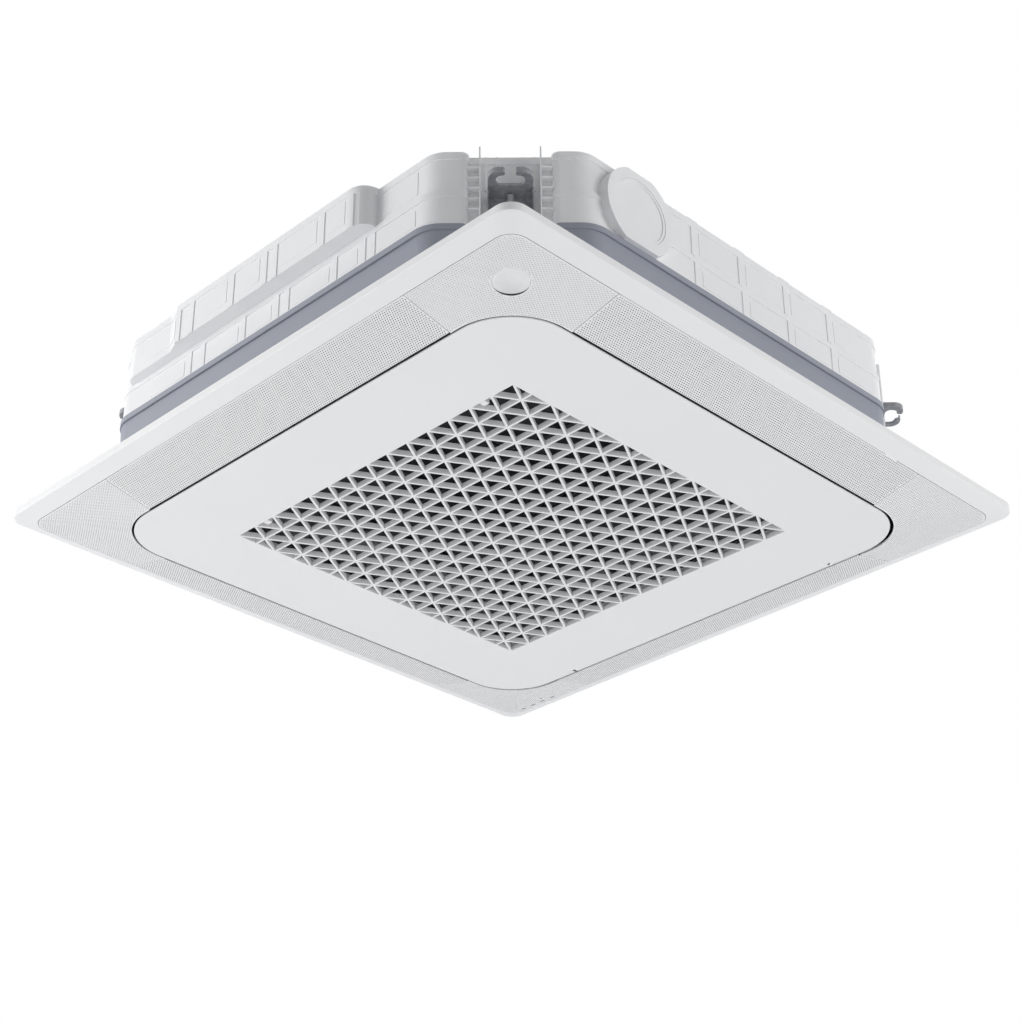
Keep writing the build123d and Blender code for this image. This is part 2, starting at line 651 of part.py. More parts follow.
# ---------------------------------------------------------------- body shells
def body_plan(inset, wall=0.0):
    """Plan of the body: its sides inset from the lip, then the whole outline moved in by a wall."""
    half = BODY_HALF - inset - wall
    plan = Rectangle(2 * half, 2 * half)
    cuts = {name: cut - CUT_SHARE * inset - wall for name, (_, cut, _) in CORNERS.items()}
    for name, (angle, _, _) in CORNERS.items():
        plan -= Rot(0, 0, angle) * Pos(cuts[name] + BODY_HALF, 0) * Rectangle(BODY_SIDE, 2 * BODY_SIDE)
    plan = fillet(plan.vertices(), BODY_CORNER_R - inset - wall)
    half_width = POCKET_WIDTH / 2 + wall
    for name, (angle, _, mouth_r) in CORNERS.items():
        pocket = Pos(POCKET_FLOOR - wall + BODY_HALF, 0) * Rectangle(BODY_SIDE, 2 * half_width)
        plan -= Rot(0, 0, angle) * pocket
        if mouth_r > max(wall, 0.0):
            tips = [Vector(cuts[name], way * half_width).rotate(Axis.Z, angle) for way in (-1, 1)]
            mouths = [v for v in plan.vertices() if min((Vector(*v) - tip).length for tip in tips) < SEAM]
            plan = fillet(mouths, mouth_r - wall)
    return plan


def upper_plan(wall):
    """Plan of the casing above its ledge, moved in by a wall: the body's plan with the front's two bulges."""
    left = BULGE_MID - BULGE_HALF + wall
    right = BULGE_MID + BULGE_HALF - wall
    end = SIDE_BULGE_END + wall
    reach = BODY_HALF + BULGE_OUT - wall
    step = BODY_HALF + SIDE_BULGE_OUT - wall
    start = left - BULGE_SLANT
    main = make_face(Polyline(
        (right, 0), (start, 0), (start, -step), (left, -reach), (right, -reach), close=True))
    side = make_face(Polyline((BULGE_MID, 0), (end, 0), (end, -step), (BULGE_MID, -step), close=True))
    main = fillet([v for v in main.vertices() if v.X > right - SEAM and v.Y < -step], SHOULDER_R - wall)
    side = fillet([v for v in side.vertices() if v.X < end + SEAM and v.Y < -step / 2], SHOULDER_R - wall)
    return body_plan(UPPER_IN, wall) + main + side


def side_band():
    """The grey band round the body, with a lip at its top and a slight draft: four walls, four corners."""
    outer = Pos(0, 0, BAND_TOP - LIP_HEIGHT) * extrude(
        body_plan(LIP_OUT), amount=-(BAND_HEIGHT - LIP_HEIGHT), taper=BAND_DRAFT)
    outer += slab(body_plan(0), BAND_TOP - LIP_HEIGHT, BAND_TOP)
    band = outer - slab(body_plan(0, BAND_IN), BODY_Z, BAND_TOP) - cable_way()
    return in_sections(band, POCKET_FLOOR - BAND_IN)


def in_sections(ring, inner):
    """A ring of walls cut into its four sides and its four corners, which butt against each other."""
    zone = Sketch()
    for angle, _, _ in CORNERS.values():
        zone += Rot(0, 0, angle) * Pos(inner + BODY_HALF, 0) * Rectangle(BODY_SIDE, 2 * BODY_SIDE)
    corners = slab(zone, BODY_Z, ROOF_Z)
    return Compound((ring - corners).solids() + (ring & corners).solids())


def cable_way():
    """The round way for the cable behind the gland, through the band and the liner."""
    return rod(GLAND_BORE, (-BODY_HALF, GLAND_Y, GLAND_Z), (-BODY_HALF + 2 * BAND_IN, GLAND_Y, GLAND_Z))


def upper_casing():
    """The ribbed milky casing: waist, ledge, bulged wall, roof flange, knock-out boss, pipe pad, ribs."""
    outer = slab(body_plan(CASING_IN), BAND_TOP, LEDGE_Z) + slab(upper_plan(0), LEDGE_Z - CASING_T, ROOF_Z)
    inner = slab(body_plan(CASING_IN, CASING_T), BAND_TOP, LEDGE_Z)
    inner += slab(upper_plan(CASING_T), LEDGE_Z, ROOF_Z - CASING_T)
    wall = BODY_HALF - UPPER_IN
    boss = rod(BOSS_R, (wall - CASING_T, KNOCKOUT_Y, KNOCKOUT_Z), (wall + BOSS_OUT, KNOCKOUT_Y, KNOCKOUT_Z))
    boss &= box((0, PANEL_SIDE), (-PANEL_HALF, PANEL_HALF), (BAND_TOP, ROOF_Z))
    pad = box((PIPE_CUT_X[0] - PAD_EDGE, PIPE_CUT_X[1] + PAD_EDGE), (wall - CASING_T, PAD_Y),
              (PIPE_CUT_Z[0] - PAD_EDGE, PIPE_CUT_Z[1] + PAD_EDGE))
    casing = outer + boss + pad + wall_ribs() + wall_pads() + pocket_ribs() - inner
    inside = wall - 2 * CASING_T
    casing -= rod(KNOCKOUT_R, (inside, KNOCKOUT_Y, KNOCKOUT_Z), (PANEL_SIDE, KNOCKOUT_Y, KNOCKOUT_Z))
    casing -= box(PIPE_CUT_X, (inside, PANEL_HALF), PIPE_CUT_Z)
    return casing - slab(square(PLATE_HALF - PLATE_LAP, PLATE_R - PLATE_LAP), ROOF_Z - CASING_T, ROOF_Z)


PLATE_HALF = 352.0
PLATE_R = 70.0
PLATE_LAP = 16.0
PAD_EDGE = 8.0
PAD_Y = BODY_HALF - CASING_IN + CASING_T
PIPE_CUT_X = (COIL_END + 8.0, COIL_END + 102.0)
PIPE_CUT_Z = (BAND_TOP + PAD_EDGE, ROOF_Z - 2 * PAD_EDGE)
FRONT_RIBS = [BULGE_MID + step for step in (-179.0, -151.0, -68.0, -2.0, 18.0, 108.0, 160.0, 177.0)]
SIDE_RIBS = [RIB_PITCH * step for step in (-1.05, -0.05, 0.95, 1.95)]


def wall_ribs():
    """Flat ribs up the casing's four walls, their bumps on the roof's edge, and two level bands."""
    stripes = Sketch()
    bumps = []
    for side, turn in SIDES.items():
        places = FRONT_RIBS if side == "front" else SIDE_RIBS
        for place in places:
            stripes += Rot(0, 0, turn) * Pos(place, -BODY_HALF) * Rectangle(RIB_WIDTH, 4 * BULGE_OUT)
            if side != "front":
                wall = BODY_HALF - UPPER_IN
                bump = box((place - RIB_WIDTH, place + RIB_WIDTH), (-wall, -wall + 4 * RIB_WIDTH),
                           (ROOF_Z - CASING_T, ROOF_Z + ROOF_BUMP))
                bumps.append(Rot(0, 0, turn) * bump)
    low = body_plan(CASING_IN - RIB_PROUD) - body_plan(CASING_IN, CASING_T / 2)
    high = upper_plan(-RIB_PROUD) - upper_plan(CASING_T / 2)
    ribs = slab(low & stripes, BAND_TOP, LEDGE_Z)
    ribs += slab(high & stripes, LEDGE_Z - CASING_T, ROOF_Z)
    ribs += slab(low, LEDGE_Z - RIB_WIDTH, LEDGE_Z - CASING_T) + slab(high, ROOF_Z - RIB_WIDTH, ROOF_Z)
    foot = body_plan(CASING_IN - 2 * RIB_PROUD) - body_plan(CASING_IN, CASING_T / 2)
    return ribs + slab(foot, BAND_TOP, BAND_TOP + RIB_WIDTH / 2) + bumps


def wall_fields(side):
    """The spans between a side's ribs, and beyond its outer ribs, that are wide enough for a pad."""
    places = FRONT_RIBS if side == "front" else SIDE_RIBS
    marks = [FIELDS_FROM[side]] + places + [FIELD_END]
    return [(a + RIB_WIDTH, b - RIB_WIDTH) for a, b in zip(marks, marks[1:]) if b - a > 4 * RIB_WIDTH]


def wall_pads():
    """A low raised pad in every field that the ribs frame, above and below the ledge."""
    fields = Sketch()
    for side, turn in SIDES.items():
        for left, right in wall_fields(side):
            field = Rectangle(right - left, 4 * BULGE_OUT)
            fields += Rot(0, 0, turn) * Pos((left + right) / 2, -BODY_HALF) * field
    low = body_plan(CASING_IN - PAD_PROUD) - body_plan(CASING_IN, CASING_T / 2)
    high = upper_plan(-PAD_PROUD) - upper_plan(CASING_T / 2)
    pads = slab(low & fields, BAND_TOP + RIB_WIDTH, LEDGE_Z - 2 * RIB_WIDTH + CASING_T)
    return pads + slab(high & fields, LEDGE_Z + PAD_EDGE, ROOF_Z - RIB_WIDTH - PAD_EDGE / 2)


PAD_PROUD = 0.6
FIELD_END = 268.0            # where the flat part of a side ends, from its middle
FIELDS_FROM = {"front": -FIELD_END, "right": SIDE_RIBS[0], "rear": SIDE_RIBS[0], "left": -FIELD_END}


def pocket_ribs():
    """Two tall ribs and a ladder of shelves in every hanger pocket."""
    ribs = []
    for angle, cut, _ in CORNERS.values():
        for way in (-1, 1):
            at = way * TALL_RIB_AT
            tall = box((POCKET_FLOOR - 1, TALL_RIB_REACH), (at - 0.9, at + 0.9), (BAND_TOP, ROOF_Z))
            ribs.append(Rot(0, 0, angle) * tall)
            for low_at in LOW_RIBS:
                at = way * low_at
                low = box((POCKET_FLOOR - 1, POCKET_FLOOR + 2), (at - 0.9, at + 0.9), (HANGER_Z + 12, ROOF_Z))
                ribs.append(Rot(0, 0, angle) * low)
            for step in range(SHELVES):
                z = ROOF_Z - SHELF_DROP - step * SHELF_PITCH
                inner, outer = sorted((way * TALL_RIB_AT, way * (POCKET_WIDTH / 2 + 1)))
                shelf = box((POCKET_FLOOR - 1, cut - 4), (inner, outer), (z - 0.9, z + 0.9))
                ribs.append(Rot(0, 0, angle) * shelf)
    return Part() + ribs


TALL_RIB_AT = 35.5
TALL_RIB_REACH = 503.0
LOW_RIBS = (15.5, 28.5)
SHELVES = 5
SHELF_PITCH = 15.2
SHELF_DROP = 20.0


def knockout_disc():
    """The fresh-air knock-out, a disc with a raised rim that fills the boss."""
    face = BODY_HALF - UPPER_IN + BOSS_OUT - DISC_T
    radius = KNOCKOUT_R - DISC_GAP
    disc = rod(radius, (face - DISC_T, KNOCKOUT_Y, KNOCKOUT_Z), (face, KNOCKOUT_Y, KNOCKOUT_Z))
    rim = rod(radius, (face, KNOCKOUT_Y, KNOCKOUT_Z), (face + DISC_RIM_T, KNOCKOUT_Y, KNOCKOUT_Z))
    rim -= rod(radius - DISC_RIM, (face, KNOCKOUT_Y, KNOCKOUT_Z), (face + DISC_RIM_T, KNOCKOUT_Y, KNOCKOUT_Z))
    return disc + rim


DISC_T = 2.0
DISC_GAP = 0.3
DISC_RIM = 3.7
DISC_RIM_T = 1.2


def top_plate():
    """The steel roof plate on the casing's roof flange, pressed with a ring and four ribs."""
    plate = slab(square(PLATE_HALF, PLATE_R), ROOF_Z, ROOF_Z + PLATE_T)
    plate += slab(Circle(PRESS_R) - Circle(PRESS_R - PRESS_WIDE), ROOF_Z + PLATE_T, ROOF_Z + 2 * PLATE_T)
    for angle, _, _ in CORNERS.values():
        press = Pos(PRESS_AT, 0) * SlotOverall(PRESS_LONG, 1.5 * PRESS_WIDE)
        plate += slab(Rot(0, 0, angle) * press, ROOF_Z + PLATE_T, ROOF_Z + 2 * PLATE_T)
    for x, y in cushion_places():
        plate -= rod(SCREW_R, (x, y, ROOF_Z), (x, y, ROOF_Z + PLATE_T))
    return plate


PRESS_R = 172.0
PRESS_WIDE = 12.0
PRESS_AT = 300.0             # middle of each pressed rib, from the unit's middle
PRESS_LONG = 200.0


def liner():
    """The foam liner's boards: four sides, four corners and a roof, with ports for the pipes and the fan."""
    outer = BAND_IN + LINER_GAP
    inside = BODY_HALF - outer - 2 * LINER_T
    under = LINER_TOP - LINER_T
    ring = slab(body_plan(0, outer) - body_plan(0, outer + LINER_T), PAN_TOP, under)
    ring -= box((PIPE_CUT_X[0] - PORT_ROOM, PIPE_CUT_X[1] + PORT_ROOM), (inside, BODY_HALF), PIPE_CUT_Z)
    ring -= rod(KNOCKOUT_R - PORT_ROOM, (inside, KNOCKOUT_Y, KNOCKOUT_Z), (BODY_HALF, KNOCKOUT_Y, KNOCKOUT_Z))
    walls = in_sections(ring - cable_way(), POCKET_FLOOR - outer - LINER_T)
    roof = slab(body_plan(0, outer) - Circle(LINER_HOLE_R), under, LINER_TOP)
    return Compound(walls.solids() + roof.solids())


LINER_GAP = 2.0              # between the band's wall and the liner
LINER_HOLE_R = 118.0
PORT_ROOM = 4.0              # how far the liner's ports differ from the openings they stand behind


def drain_pan():
    """The foam drain pan: coil trough, four outlet ducts, opening for the bell mouth, pump sump."""
    pan = slab(body_plan(0, BAND_IN + DISC_GAP), BODY_Z, PAN_TOP)
    pan -= slab(square(PAN_OPENING, PAN_R), BODY_Z, PAN_TOP)
    pan -= slab(square(PAN_OPENING + PAN_LEDGE, PAN_R), BELL_PLATE_Z, PAN_TOP)
    trough = square(COIL_OUT + TROUGH_ROOM, COIL_CORNER_R + TROUGH_ROOM)
    trough -= square(COIL_OUT - COIL_T - TROUGH_ROOM, COIL_CORNER_R - COIL_T)
    pan -= slab(trough, PAN_FLOOR, PAN_TOP)
    for turn in SIDES.values():
        low = Pos(0, -(DUCT_LOW_IN + DUCT_OUT) / 2, BODY_Z) * Rectangle(2 * DUCT_HALF, DUCT_OUT - DUCT_LOW_IN)
        high = Pos(0, -(DUCT_IN + DUCT_OUT) / 2, PAN_TOP) * Rectangle(2 * DUCT_HALF, DUCT_OUT - DUCT_IN)
        pan -= Rot(0, 0, turn) * loft([low, high], ruled=True)
    pan -= rod(SUMP_R, (PUMP_X, PUMP_Y, SUMP_FLOOR), (PUMP_X, PUMP_Y, PAN_TOP))
    for x, y in PANEL_SCREWS:
        pan -= rod(SCREW_R, (x, y, BODY_Z), (x, y, BODY_Z + SCREW_BITE + 2))
    return pan


DUCT_LOW_IN = 372.0
PAN_R = 20.0
TROUGH_ROOM = 4.0
PUMP_X = COIL_END + 81.0
PUMP_Y = 300.0
SUMP_R = 21.0
SUMP_FLOOR = BODY_Z + 10.0
SCREW_BITE = 14.0            # length of a panel screw in the body


# ---------------------------------------------------------------- hangers
def hanger_outline():
    """The flange's plan before its slot: straight at the leg, round at both outer corners."""
    length = HANGER_REACH - POCKET_FLOOR
    outline = Pos(POCKET_FLOOR + length / 2, 0) * Rectangle(length, HANGER_WIDTH)
    return fillet([v for v in outline.vertices() if v.X > POCKET_FLOOR + length / 2], HANGER_CORNER_R)


def hanger_flange():
    """The slotted flange with its edge turned up, every lower edge rounded as pressing leaves it."""
    slot_out = HANGER_REACH - HANGER_LIP
    slot_mid = slot_out - HANGER_SLOT_DEPTH / 2
    outline = hanger_outline()
    flange = outline - Pos(slot_mid, 0) * RectangleRounded(HANGER_SLOT_DEPTH, HANGER_SLOT, HANGER_SLOT_R)
    mouth = HANGER_REACH - slot_mid + HANGER_T
    flange -= Pos(slot_mid + mouth / 2, 0) * Rectangle(mouth, HANGER_MOUTH)
    tips = [v for v in flange.vertices() if v.X > slot_out - SEAM and abs(v.Y) < HANGER_MOUTH]
    flange = fillet(tips, HANGER_TIP_R)
    turned_up = flange - offset(outline, -HANGER_T)
    turned_up -= Pos(POCKET_FLOOR, 0) * Rectangle(2 * HANGER_T, HANGER_WIDTH)
    plate = slab(flange, HANGER_Z, HANGER_Z + HANGER_T) + slab(turned_up, HANGER_Z, HANGER_Z + HANGER_EDGE)
    return fillet(plate.faces().sort_by(Axis.Z)[0].outer_wire().edges(), HANGER_PRESS_R)


def hanger(name):
    """One hanger: slotted flange, leg with two turned cheeks on the pocket's floor, bead in the bend."""
    root = POCKET_FLOOR
    half = HANGER_WIDTH / 2
    foot = HANGER_Z - HANGER_LEG
    leg = box((root, root + HANGER_T), (-half, half), (foot, HANGER_Z + HANGER_T))
    for way in (-1, 1):
        y, z = way * HANGER_HOLE_AT, HANGER_Z - HANGER_HOLE_DROP
        leg -= rod(SCREW_R + RUNNING, (root, y, z), (root + HANGER_T, y, z))
        side = sorted((way * half, way * (half - CHEEK_T)))
        leg += box((root, root + CHEEK_ON_LEG), side, (foot, HANGER_Z))
        leg += box((root, root + CHEEK_LONG), side, (HANGER_Z - CHEEK_DEEP, HANGER_Z + HANGER_T))
    low = Vector(root, 0, HANGER_Z - BEAD_REACH)
    high = Vector(root + BEAD_REACH, 0, HANGER_Z)
    bead = Solid.make_cylinder(BEAD_R, (high - low).length, Plane(origin=low, z_dir=high - low))
    bead &= box((root, root + 2 * BEAD_REACH), (-half, half), (foot, HANGER_Z + HANGER_T))
    return Rot(0, 0, CORNERS[name][0]) * (Part() + hanger_flange() + leg + bead)


HANGER_CORNER_R = 14.0
HANGER_TIP_R = 3.0
HANGER_SLOT_R = 7.5
HANGER_EDGE = 7.0            # height of the flange with its turned-up edge
HANGER_PRESS_R = 1.0
HANGER_HOLE_DROP = 22.0
HANGER_HOLE_AT = 16.0
CHEEK_T = 1.6
CHEEK_ON_LEG = 9.0
CHEEK_LONG = 24.0
CHEEK_DEEP = 7.0
BEAD_R = 4.5
BEAD_REACH = 12.0            # how far the bead runs along flange and leg


# ---------------------------------------------------------------- fan
def ring_profile(points):
    """A solid of revolution about the unit's middle from a closed outline of radius and level."""
    outline = make_face(Polyline(*[Vector(r, 0, z) for r, z in points], close=True))
    return revolve(outline, Axis.Z)


def shroud_level(radius):
    """Inner level of the shroud at a radius, rising outward from the eye."""
    share = (radius - FAN_EYE_R) / (FAN_R - FAN_EYE_R)
    return SHROUD_LOW + (SHROUD_HIGH - SHROUD_LOW) * max(share, 0.0) ** 0.6


SHROUD_LOW = 104.0
SHROUD_HIGH = 130.0
SHROUD_STEPS = 4
SHROUD_NECK = 8.0
BLADE_FIT = 0.3              # blade tip to shroud


def shroud_points():
    """Outline of the shroud's inner face from the eye to the rim."""
    step = (FAN_R - FAN_EYE_R) / SHROUD_STEPS
    radii = [FAN_EYE_R + step * i for i in range(SHROUD_STEPS + 1)]
    return [(r, shroud_level(r)) for r in radii]


def fan_hub():
    """The turbo fan's hub plate, motor cup and boss, with its backward-curved blades moulded on."""
    cup_in = HUB_CUP_R - FAN_SHEET
    boss_low = HUB_CUP_FLOOR - BOSS_LONG
    plate = ring_profile([
        (HUB_CUP_R, FAN_TOP - FAN_SHEET), (FAN_R, FAN_TOP - FAN_SHEET), (FAN_R, FAN_TOP),
        (cup_in, FAN_TOP), (cup_in - CUP_DRAFT, HUB_CUP_FLOOR + FAN_SHEET),
        (SHAFT_R, HUB_CUP_FLOOR + FAN_SHEET), (SHAFT_R, boss_low), (SHAFT_R + BOSS_WALL, boss_low),
        (SHAFT_R + BOSS_WALL, HUB_CUP_FLOOR), (HUB_CUP_R - CUP_DRAFT, HUB_CUP_FLOOR),
    ])
    edge = [(r, z + BLADE_FIT) for r, z in shroud_points()]
    edge = [(FAN_EYE_R / 2, edge[0][1])] + edge + [(2 * FAN_R, edge[-1][1])]
    under = ring_profile([(FAN_EYE_R / 2, 0)] + edge + [(2 * FAN_R, 0)])
    blades = []
    for step in range(FAN_BLADES):
        blades.append(Rot(0, 0, 360.0 / FAN_BLADES * step) * (fan_blade() - under))
    return Part() + plate + blades


CUP_DRAFT = 12.0             # how much narrower the cup is at its floor
BOSS_LONG = 16.0
BOSS_WALL = 9.0


def fan_blade():
    """One backward-curved blade, twisted a little from the shroud to the hub plate."""
    sections = []
    for level, twist, root in (
        (SHROUD_LOW - 2, BLADE_TWIST, FAN_EYE_R - BLADE_ROOT_LOW),
        (FAN_TOP - FAN_SHEET, 0.0, FAN_EYE_R - BLADE_ROOT_HIGH),
    ):
        start = Vector(root, 0, level)
        end = Vector(FAN_R - BLADE_TIP_IN, 0, level).rotate(Axis.Z, BLADE_LEAN)
        chord = end - start
        side = Vector(-chord.Y, chord.X, 0).normalized()
        middle = (start + end) * 0.5
        outer = ThreePointArc(start, middle - side * BLADE_BOW, end)
        inner = ThreePointArc(end, middle - side * (BLADE_BOW - BLADE_THICK), start)
        sections.append(Rot(0, 0, twist) * make_face(outer + inner))
    return loft(sections, ruled=True)


BLADE_TWIST = 9.0            # degrees
BLADE_LEAN = 38.0            # degrees that the tip trails the root
BLADE_ROOT_LOW = 6.0         # leading edge, inward from the eye: at the shroud, then at the hub plate
BLADE_ROOT_HIGH = 26.0
BLADE_TIP_IN = 2.0
BLADE_BOW = 14.0
BLADE_THICK = 5.5


def fan_shroud():
    """The fan's shroud ring, flared from the eye to the rim."""
    inner = shroud_points()
    back = [(r + FAN_SHEET / 2, z - FAN_SHEET) for r, z in reversed(inner[:-1])]
    neck = SHROUD_LOW - SHROUD_NECK
    outer = [(FAN_R, SHROUD_HIGH - FAN_SHEET)] + back + [(FAN_EYE_R + FAN_SHEET / 2, neck)]
    return ring_profile([(FAN_EYE_R, neck)] + inner + outer)


def fan_motor():
    """The fan motor: rounded can with a neck and a bore for its shaft."""
    top = motor_top()
    low = top - MOTOR_BODY_H
    can = rod(MOTOR_BODY_R, (0, 0, low), (0, 0, top))
    can = fillet(can.edges().filter_by(GeomType.CIRCLE).sort_by(Axis.Z)[0], MOTOR_ROUND)
    neck = rod(MOTOR_NECK_R, (0, 0, low - MOTOR_NECK), (0, 0, low))
    bore = rod(SHAFT_R + RUNNING, (0, 0, low - MOTOR_NECK), (0, 0, low + SHAFT_IN + 2))
    return Part() + can + neck - bore


MOTOR_ROUND = 10.0
MOTOR_NECK_R = 16.0
MOTOR_NECK = 5.0
SHAFT_IN = 28.0              # length of the shaft inside the motor
CUSHION_BORE = 3.0


def motor_top():
    """Level where the motor meets its mounting plate."""
    return ROOF_Z - PLATE_T - CUSHION_H


def cushion_places():
    """Centres of the four rubber cushions between motor plate and roof plate."""
    half = MOUNT_SIDE / 2 - MOUNT_HOLE_IN
    return [(sx * half, sy * half) for sx in (-1, 1) for sy in (-1, 1)]


def motor_mount():
    """The pressed plate that carries the fan motor."""
    plan = RectangleRounded(MOUNT_SIDE, MOUNT_SIDE, MOUNT_HOLE_IN)
    for x, y in cushion_places():
        plan -= Pos(x, y) * Circle(CUSHION_BORE)
    return slab(plan, motor_top(), motor_top() + PLATE_T)


MOUNT_HOLE_IN = 14.0


def motor_cushions():
    """Four rubber cushions between the motor's plate and the roof plate."""
    low = motor_top() + PLATE_T
    return Compound([
        rod(CUSHION_R, (x, y, low), (x, y, ROOF_Z)) - rod(CUSHION_BORE, (x, y, low), (x, y, ROOF_Z))
        for x, y in cushion_places()
    ])


def fan_shaft():
    """The motor's shaft through the fan's boss."""
    low = HUB_CUP_FLOOR - BOSS_LONG - NUT_T - THREAD_OUT
    return rod(SHAFT_R, (0, 0, low), (0, 0, motor_top() - MOTOR_BODY_H + SHAFT_IN))


NUT_T = 8.0
NUT_R = 11.0
THREAD_OUT = 3.0             # shaft end beyond the nut


def fan_nut():
    """The nut that holds the fan on its shaft."""
    low = HUB_CUP_FLOOR - BOSS_LONG - NUT_T
    return slab(RegularPolygon(NUT_R, 6) - Circle(SHAFT_R + RUNNING), low, low + NUT_T)


def bell_mouth():
    """The bell mouth plate with its flared throat into the fan's eye."""
    flare = BELL_MOUTH_R - BELL_THROAT_R
    outer = []
    for i in range(BELL_STEPS + 1):
        angle = radians(90.0 * i / BELL_STEPS)
        outer.append((BELL_MOUTH_R - flare * sin(angle), BELL_PLATE_Z + BELL_RISE * (1 - cos(angle))))
    inner = [(r + BELL_WALL, z + SKIN) for r, z in reversed(outer[:-1])]
    top = BELL_PLATE_Z + BELL_RISE + BELL_NECK
    mouth = ring_profile(outer + [(BELL_THROAT_R, top), (BELL_THROAT_R + BELL_WALL, top)] + inner)
    plan = square(PAN_OPENING + PAN_LEDGE - BELL_FIT, PAN_R) - Circle(BELL_MOUTH_R)
    return slab(plan, BELL_PLATE_Z, BELL_PLATE_Z + SKIN) + mouth


BELL_STEPS = 5
BELL_WALL = 2.0
BELL_NECK = 4.0
BELL_FIT = 0.5


# ---------------------------------------------------------------- coil, pipes and drain
def coil_fins():
    """The finned coil: a square loop open at the right corner, its faces grooved by the fins."""
    loop = square(COIL_OUT, COIL_CORNER_R) - square(COIL_OUT - COIL_T, COIL_CORNER_R - COIL_T)
    grooves = []
    straight = COIL_OUT - COIL_CORNER_R
    count = int(2 * straight // FIN_PITCH)
    for turn in SIDES.values():
        for step in range(count + 1):
            x = (step - count / 2) * FIN_PITCH
            for out in (COIL_OUT, COIL_OUT - COIL_T):
                grooves.append(Rot(0, 0, turn) * Pos(x, -out) * Rectangle(FIN_GROOVE, 2 * FIN_GROOVE))
    loop -= grooves
    gap = Pos((COIL_END + PANEL_SIDE) / 2, (COIL_END + PANEL_SIDE) / 2)
    loop -= gap * Rectangle(PANEL_SIDE - COIL_END, PANEL_SIDE - COIL_END)
    return slab(loop, COIL_BOTTOM, COIL_TOP)


def coil_hairpins():
    """Return bends that stand out of the coil's two ends."""
    middle = COIL_OUT - COIL_T / 2
    bend = revolve(Pos(HAIRPIN_PITCH / 2, 0) * Circle(HAIRPIN_R), Axis.Y, revolution_arc=180.0)
    bends = []
    for step in range(HAIRPINS):
        z = hairpin_z(step)
        bends.append(Plane(origin=(middle, COIL_END, z), x_dir=(0, 0, 1), z_dir=(0, -1, 0)) * bend)
        bends.append(Plane(origin=(COIL_END, middle, z), x_dir=(0, 0, 1), z_dir=(-1, 0, 0)) * bend)
    return Compound(bends)


HAIRPINS = 3


def hairpin_z(step):
    """Middle level of a hairpin, counted from the lowest."""
    return COIL_BOTTOM + 31.0 + 2 * step * HAIRPIN_PITCH


HAIRPIN_PITCH = 22.0
HAIRPIN_R = 4.0


def gas_pipe():
    """The gas header beside the coil's end, its two feeds, and the stub that leaves through the rear wall."""
    middle = COIL_OUT - COIL_T / 2
    header = rod(GAS_R, (GAS_X, middle, hairpin_z(0) - HAIRPIN_PITCH), (GAS_X, middle, hairpin_z(HAIRPINS)))
    stub = rod(GAS_R, (GAS_X, middle, PIPE_Z), (GAS_X, NUT_Y + SOCKET, PIPE_Z))
    pipe = header + stub
    for step in range(HAIRPINS - 1):
        z = hairpin_z(step) + HAIRPIN_PITCH
        pipe += rod(HAIRPIN_R, (COIL_END, middle, z), (GAS_X, middle, z))
    return pipe - rod(GAS_R - PIPE_WALL, (GAS_X, PAD_Y, PIPE_Z), (GAS_X, NUT_Y + SOCKET, PIPE_Z))


GAS_X = COIL_END + 24.5
LIQUID_X = COIL_END + 48.0
PIPE_Z = BAND_TOP + 20.0
PIPE_WALL = 1.0


def liquid_pipe():
    """The liquid pipe from the coil's end, bent to the rear wall."""
    middle = COIL_OUT - COIL_T / 2 - LIQUID_BEND
    path = FilletPolyline((COIL_END, middle, LIQUID_Z), (LIQUID_X, middle, LIQUID_Z),
                          (LIQUID_X, NUT_Y + SOCKET, LIQUID_Z), radius=LIQUID_BEND)
    section = Plane(origin=(COIL_END, middle, LIQUID_Z), z_dir=(1, 0, 0)) * Circle(LIQUID_R)
    pipe = sweep(section, path=path)
    return pipe - rod(LIQUID_R - PIPE_WALL, (LIQUID_X, PAD_Y, LIQUID_Z), (LIQUID_X, NUT_Y + SOCKET, LIQUID_Z))


LIQUID_Z = BAND_TOP + 37.0
LIQUID_BEND = 14.0


def flare_unions():
    """The brass unions on the two pipes: a hexagon that the pipe is brazed into and a spigot for the line."""
    unions = []
    for x, z, pipe_r, spigot_r in UNIONS:
        hexagon = Plane(origin=(x, NUT_Y, z), z_dir=(0, 1, 0)) * RegularPolygon(HEX_SHARE * spigot_r, 6)
        union = Part() + extrude(hexagon, amount=NUT_LONG)
        union += rod(spigot_r, (x, NUT_Y, z), (x, STUB_END, z))
        union -= rod(pipe_r + RUNNING, (x, NUT_Y, z), (x, NUT_Y + SOCKET, z))
        unions.append(union - rod(pipe_r - PIPE_WALL, (x, NUT_Y, z), (x, STUB_END, z)))
    return Compound([solid for union in unions for solid in union.solids()])


NUT_Y = 426.0
NUT_LONG = 18.0
SOCKET = 12.0                # how far a pipe reaches into its union
HEX_SHARE = 1.3              # the hexagon's corner radius as a share of its spigot's radius
GAS_SPIGOT_R = 11.1
LIQUID_SPIGOT_R = 7.94
UNIONS = ((GAS_X, PIPE_Z, GAS_R, GAS_SPIGOT_R), (LIQUID_X, LIQUID_Z, LIQUID_R, LIQUID_SPIGOT_R))


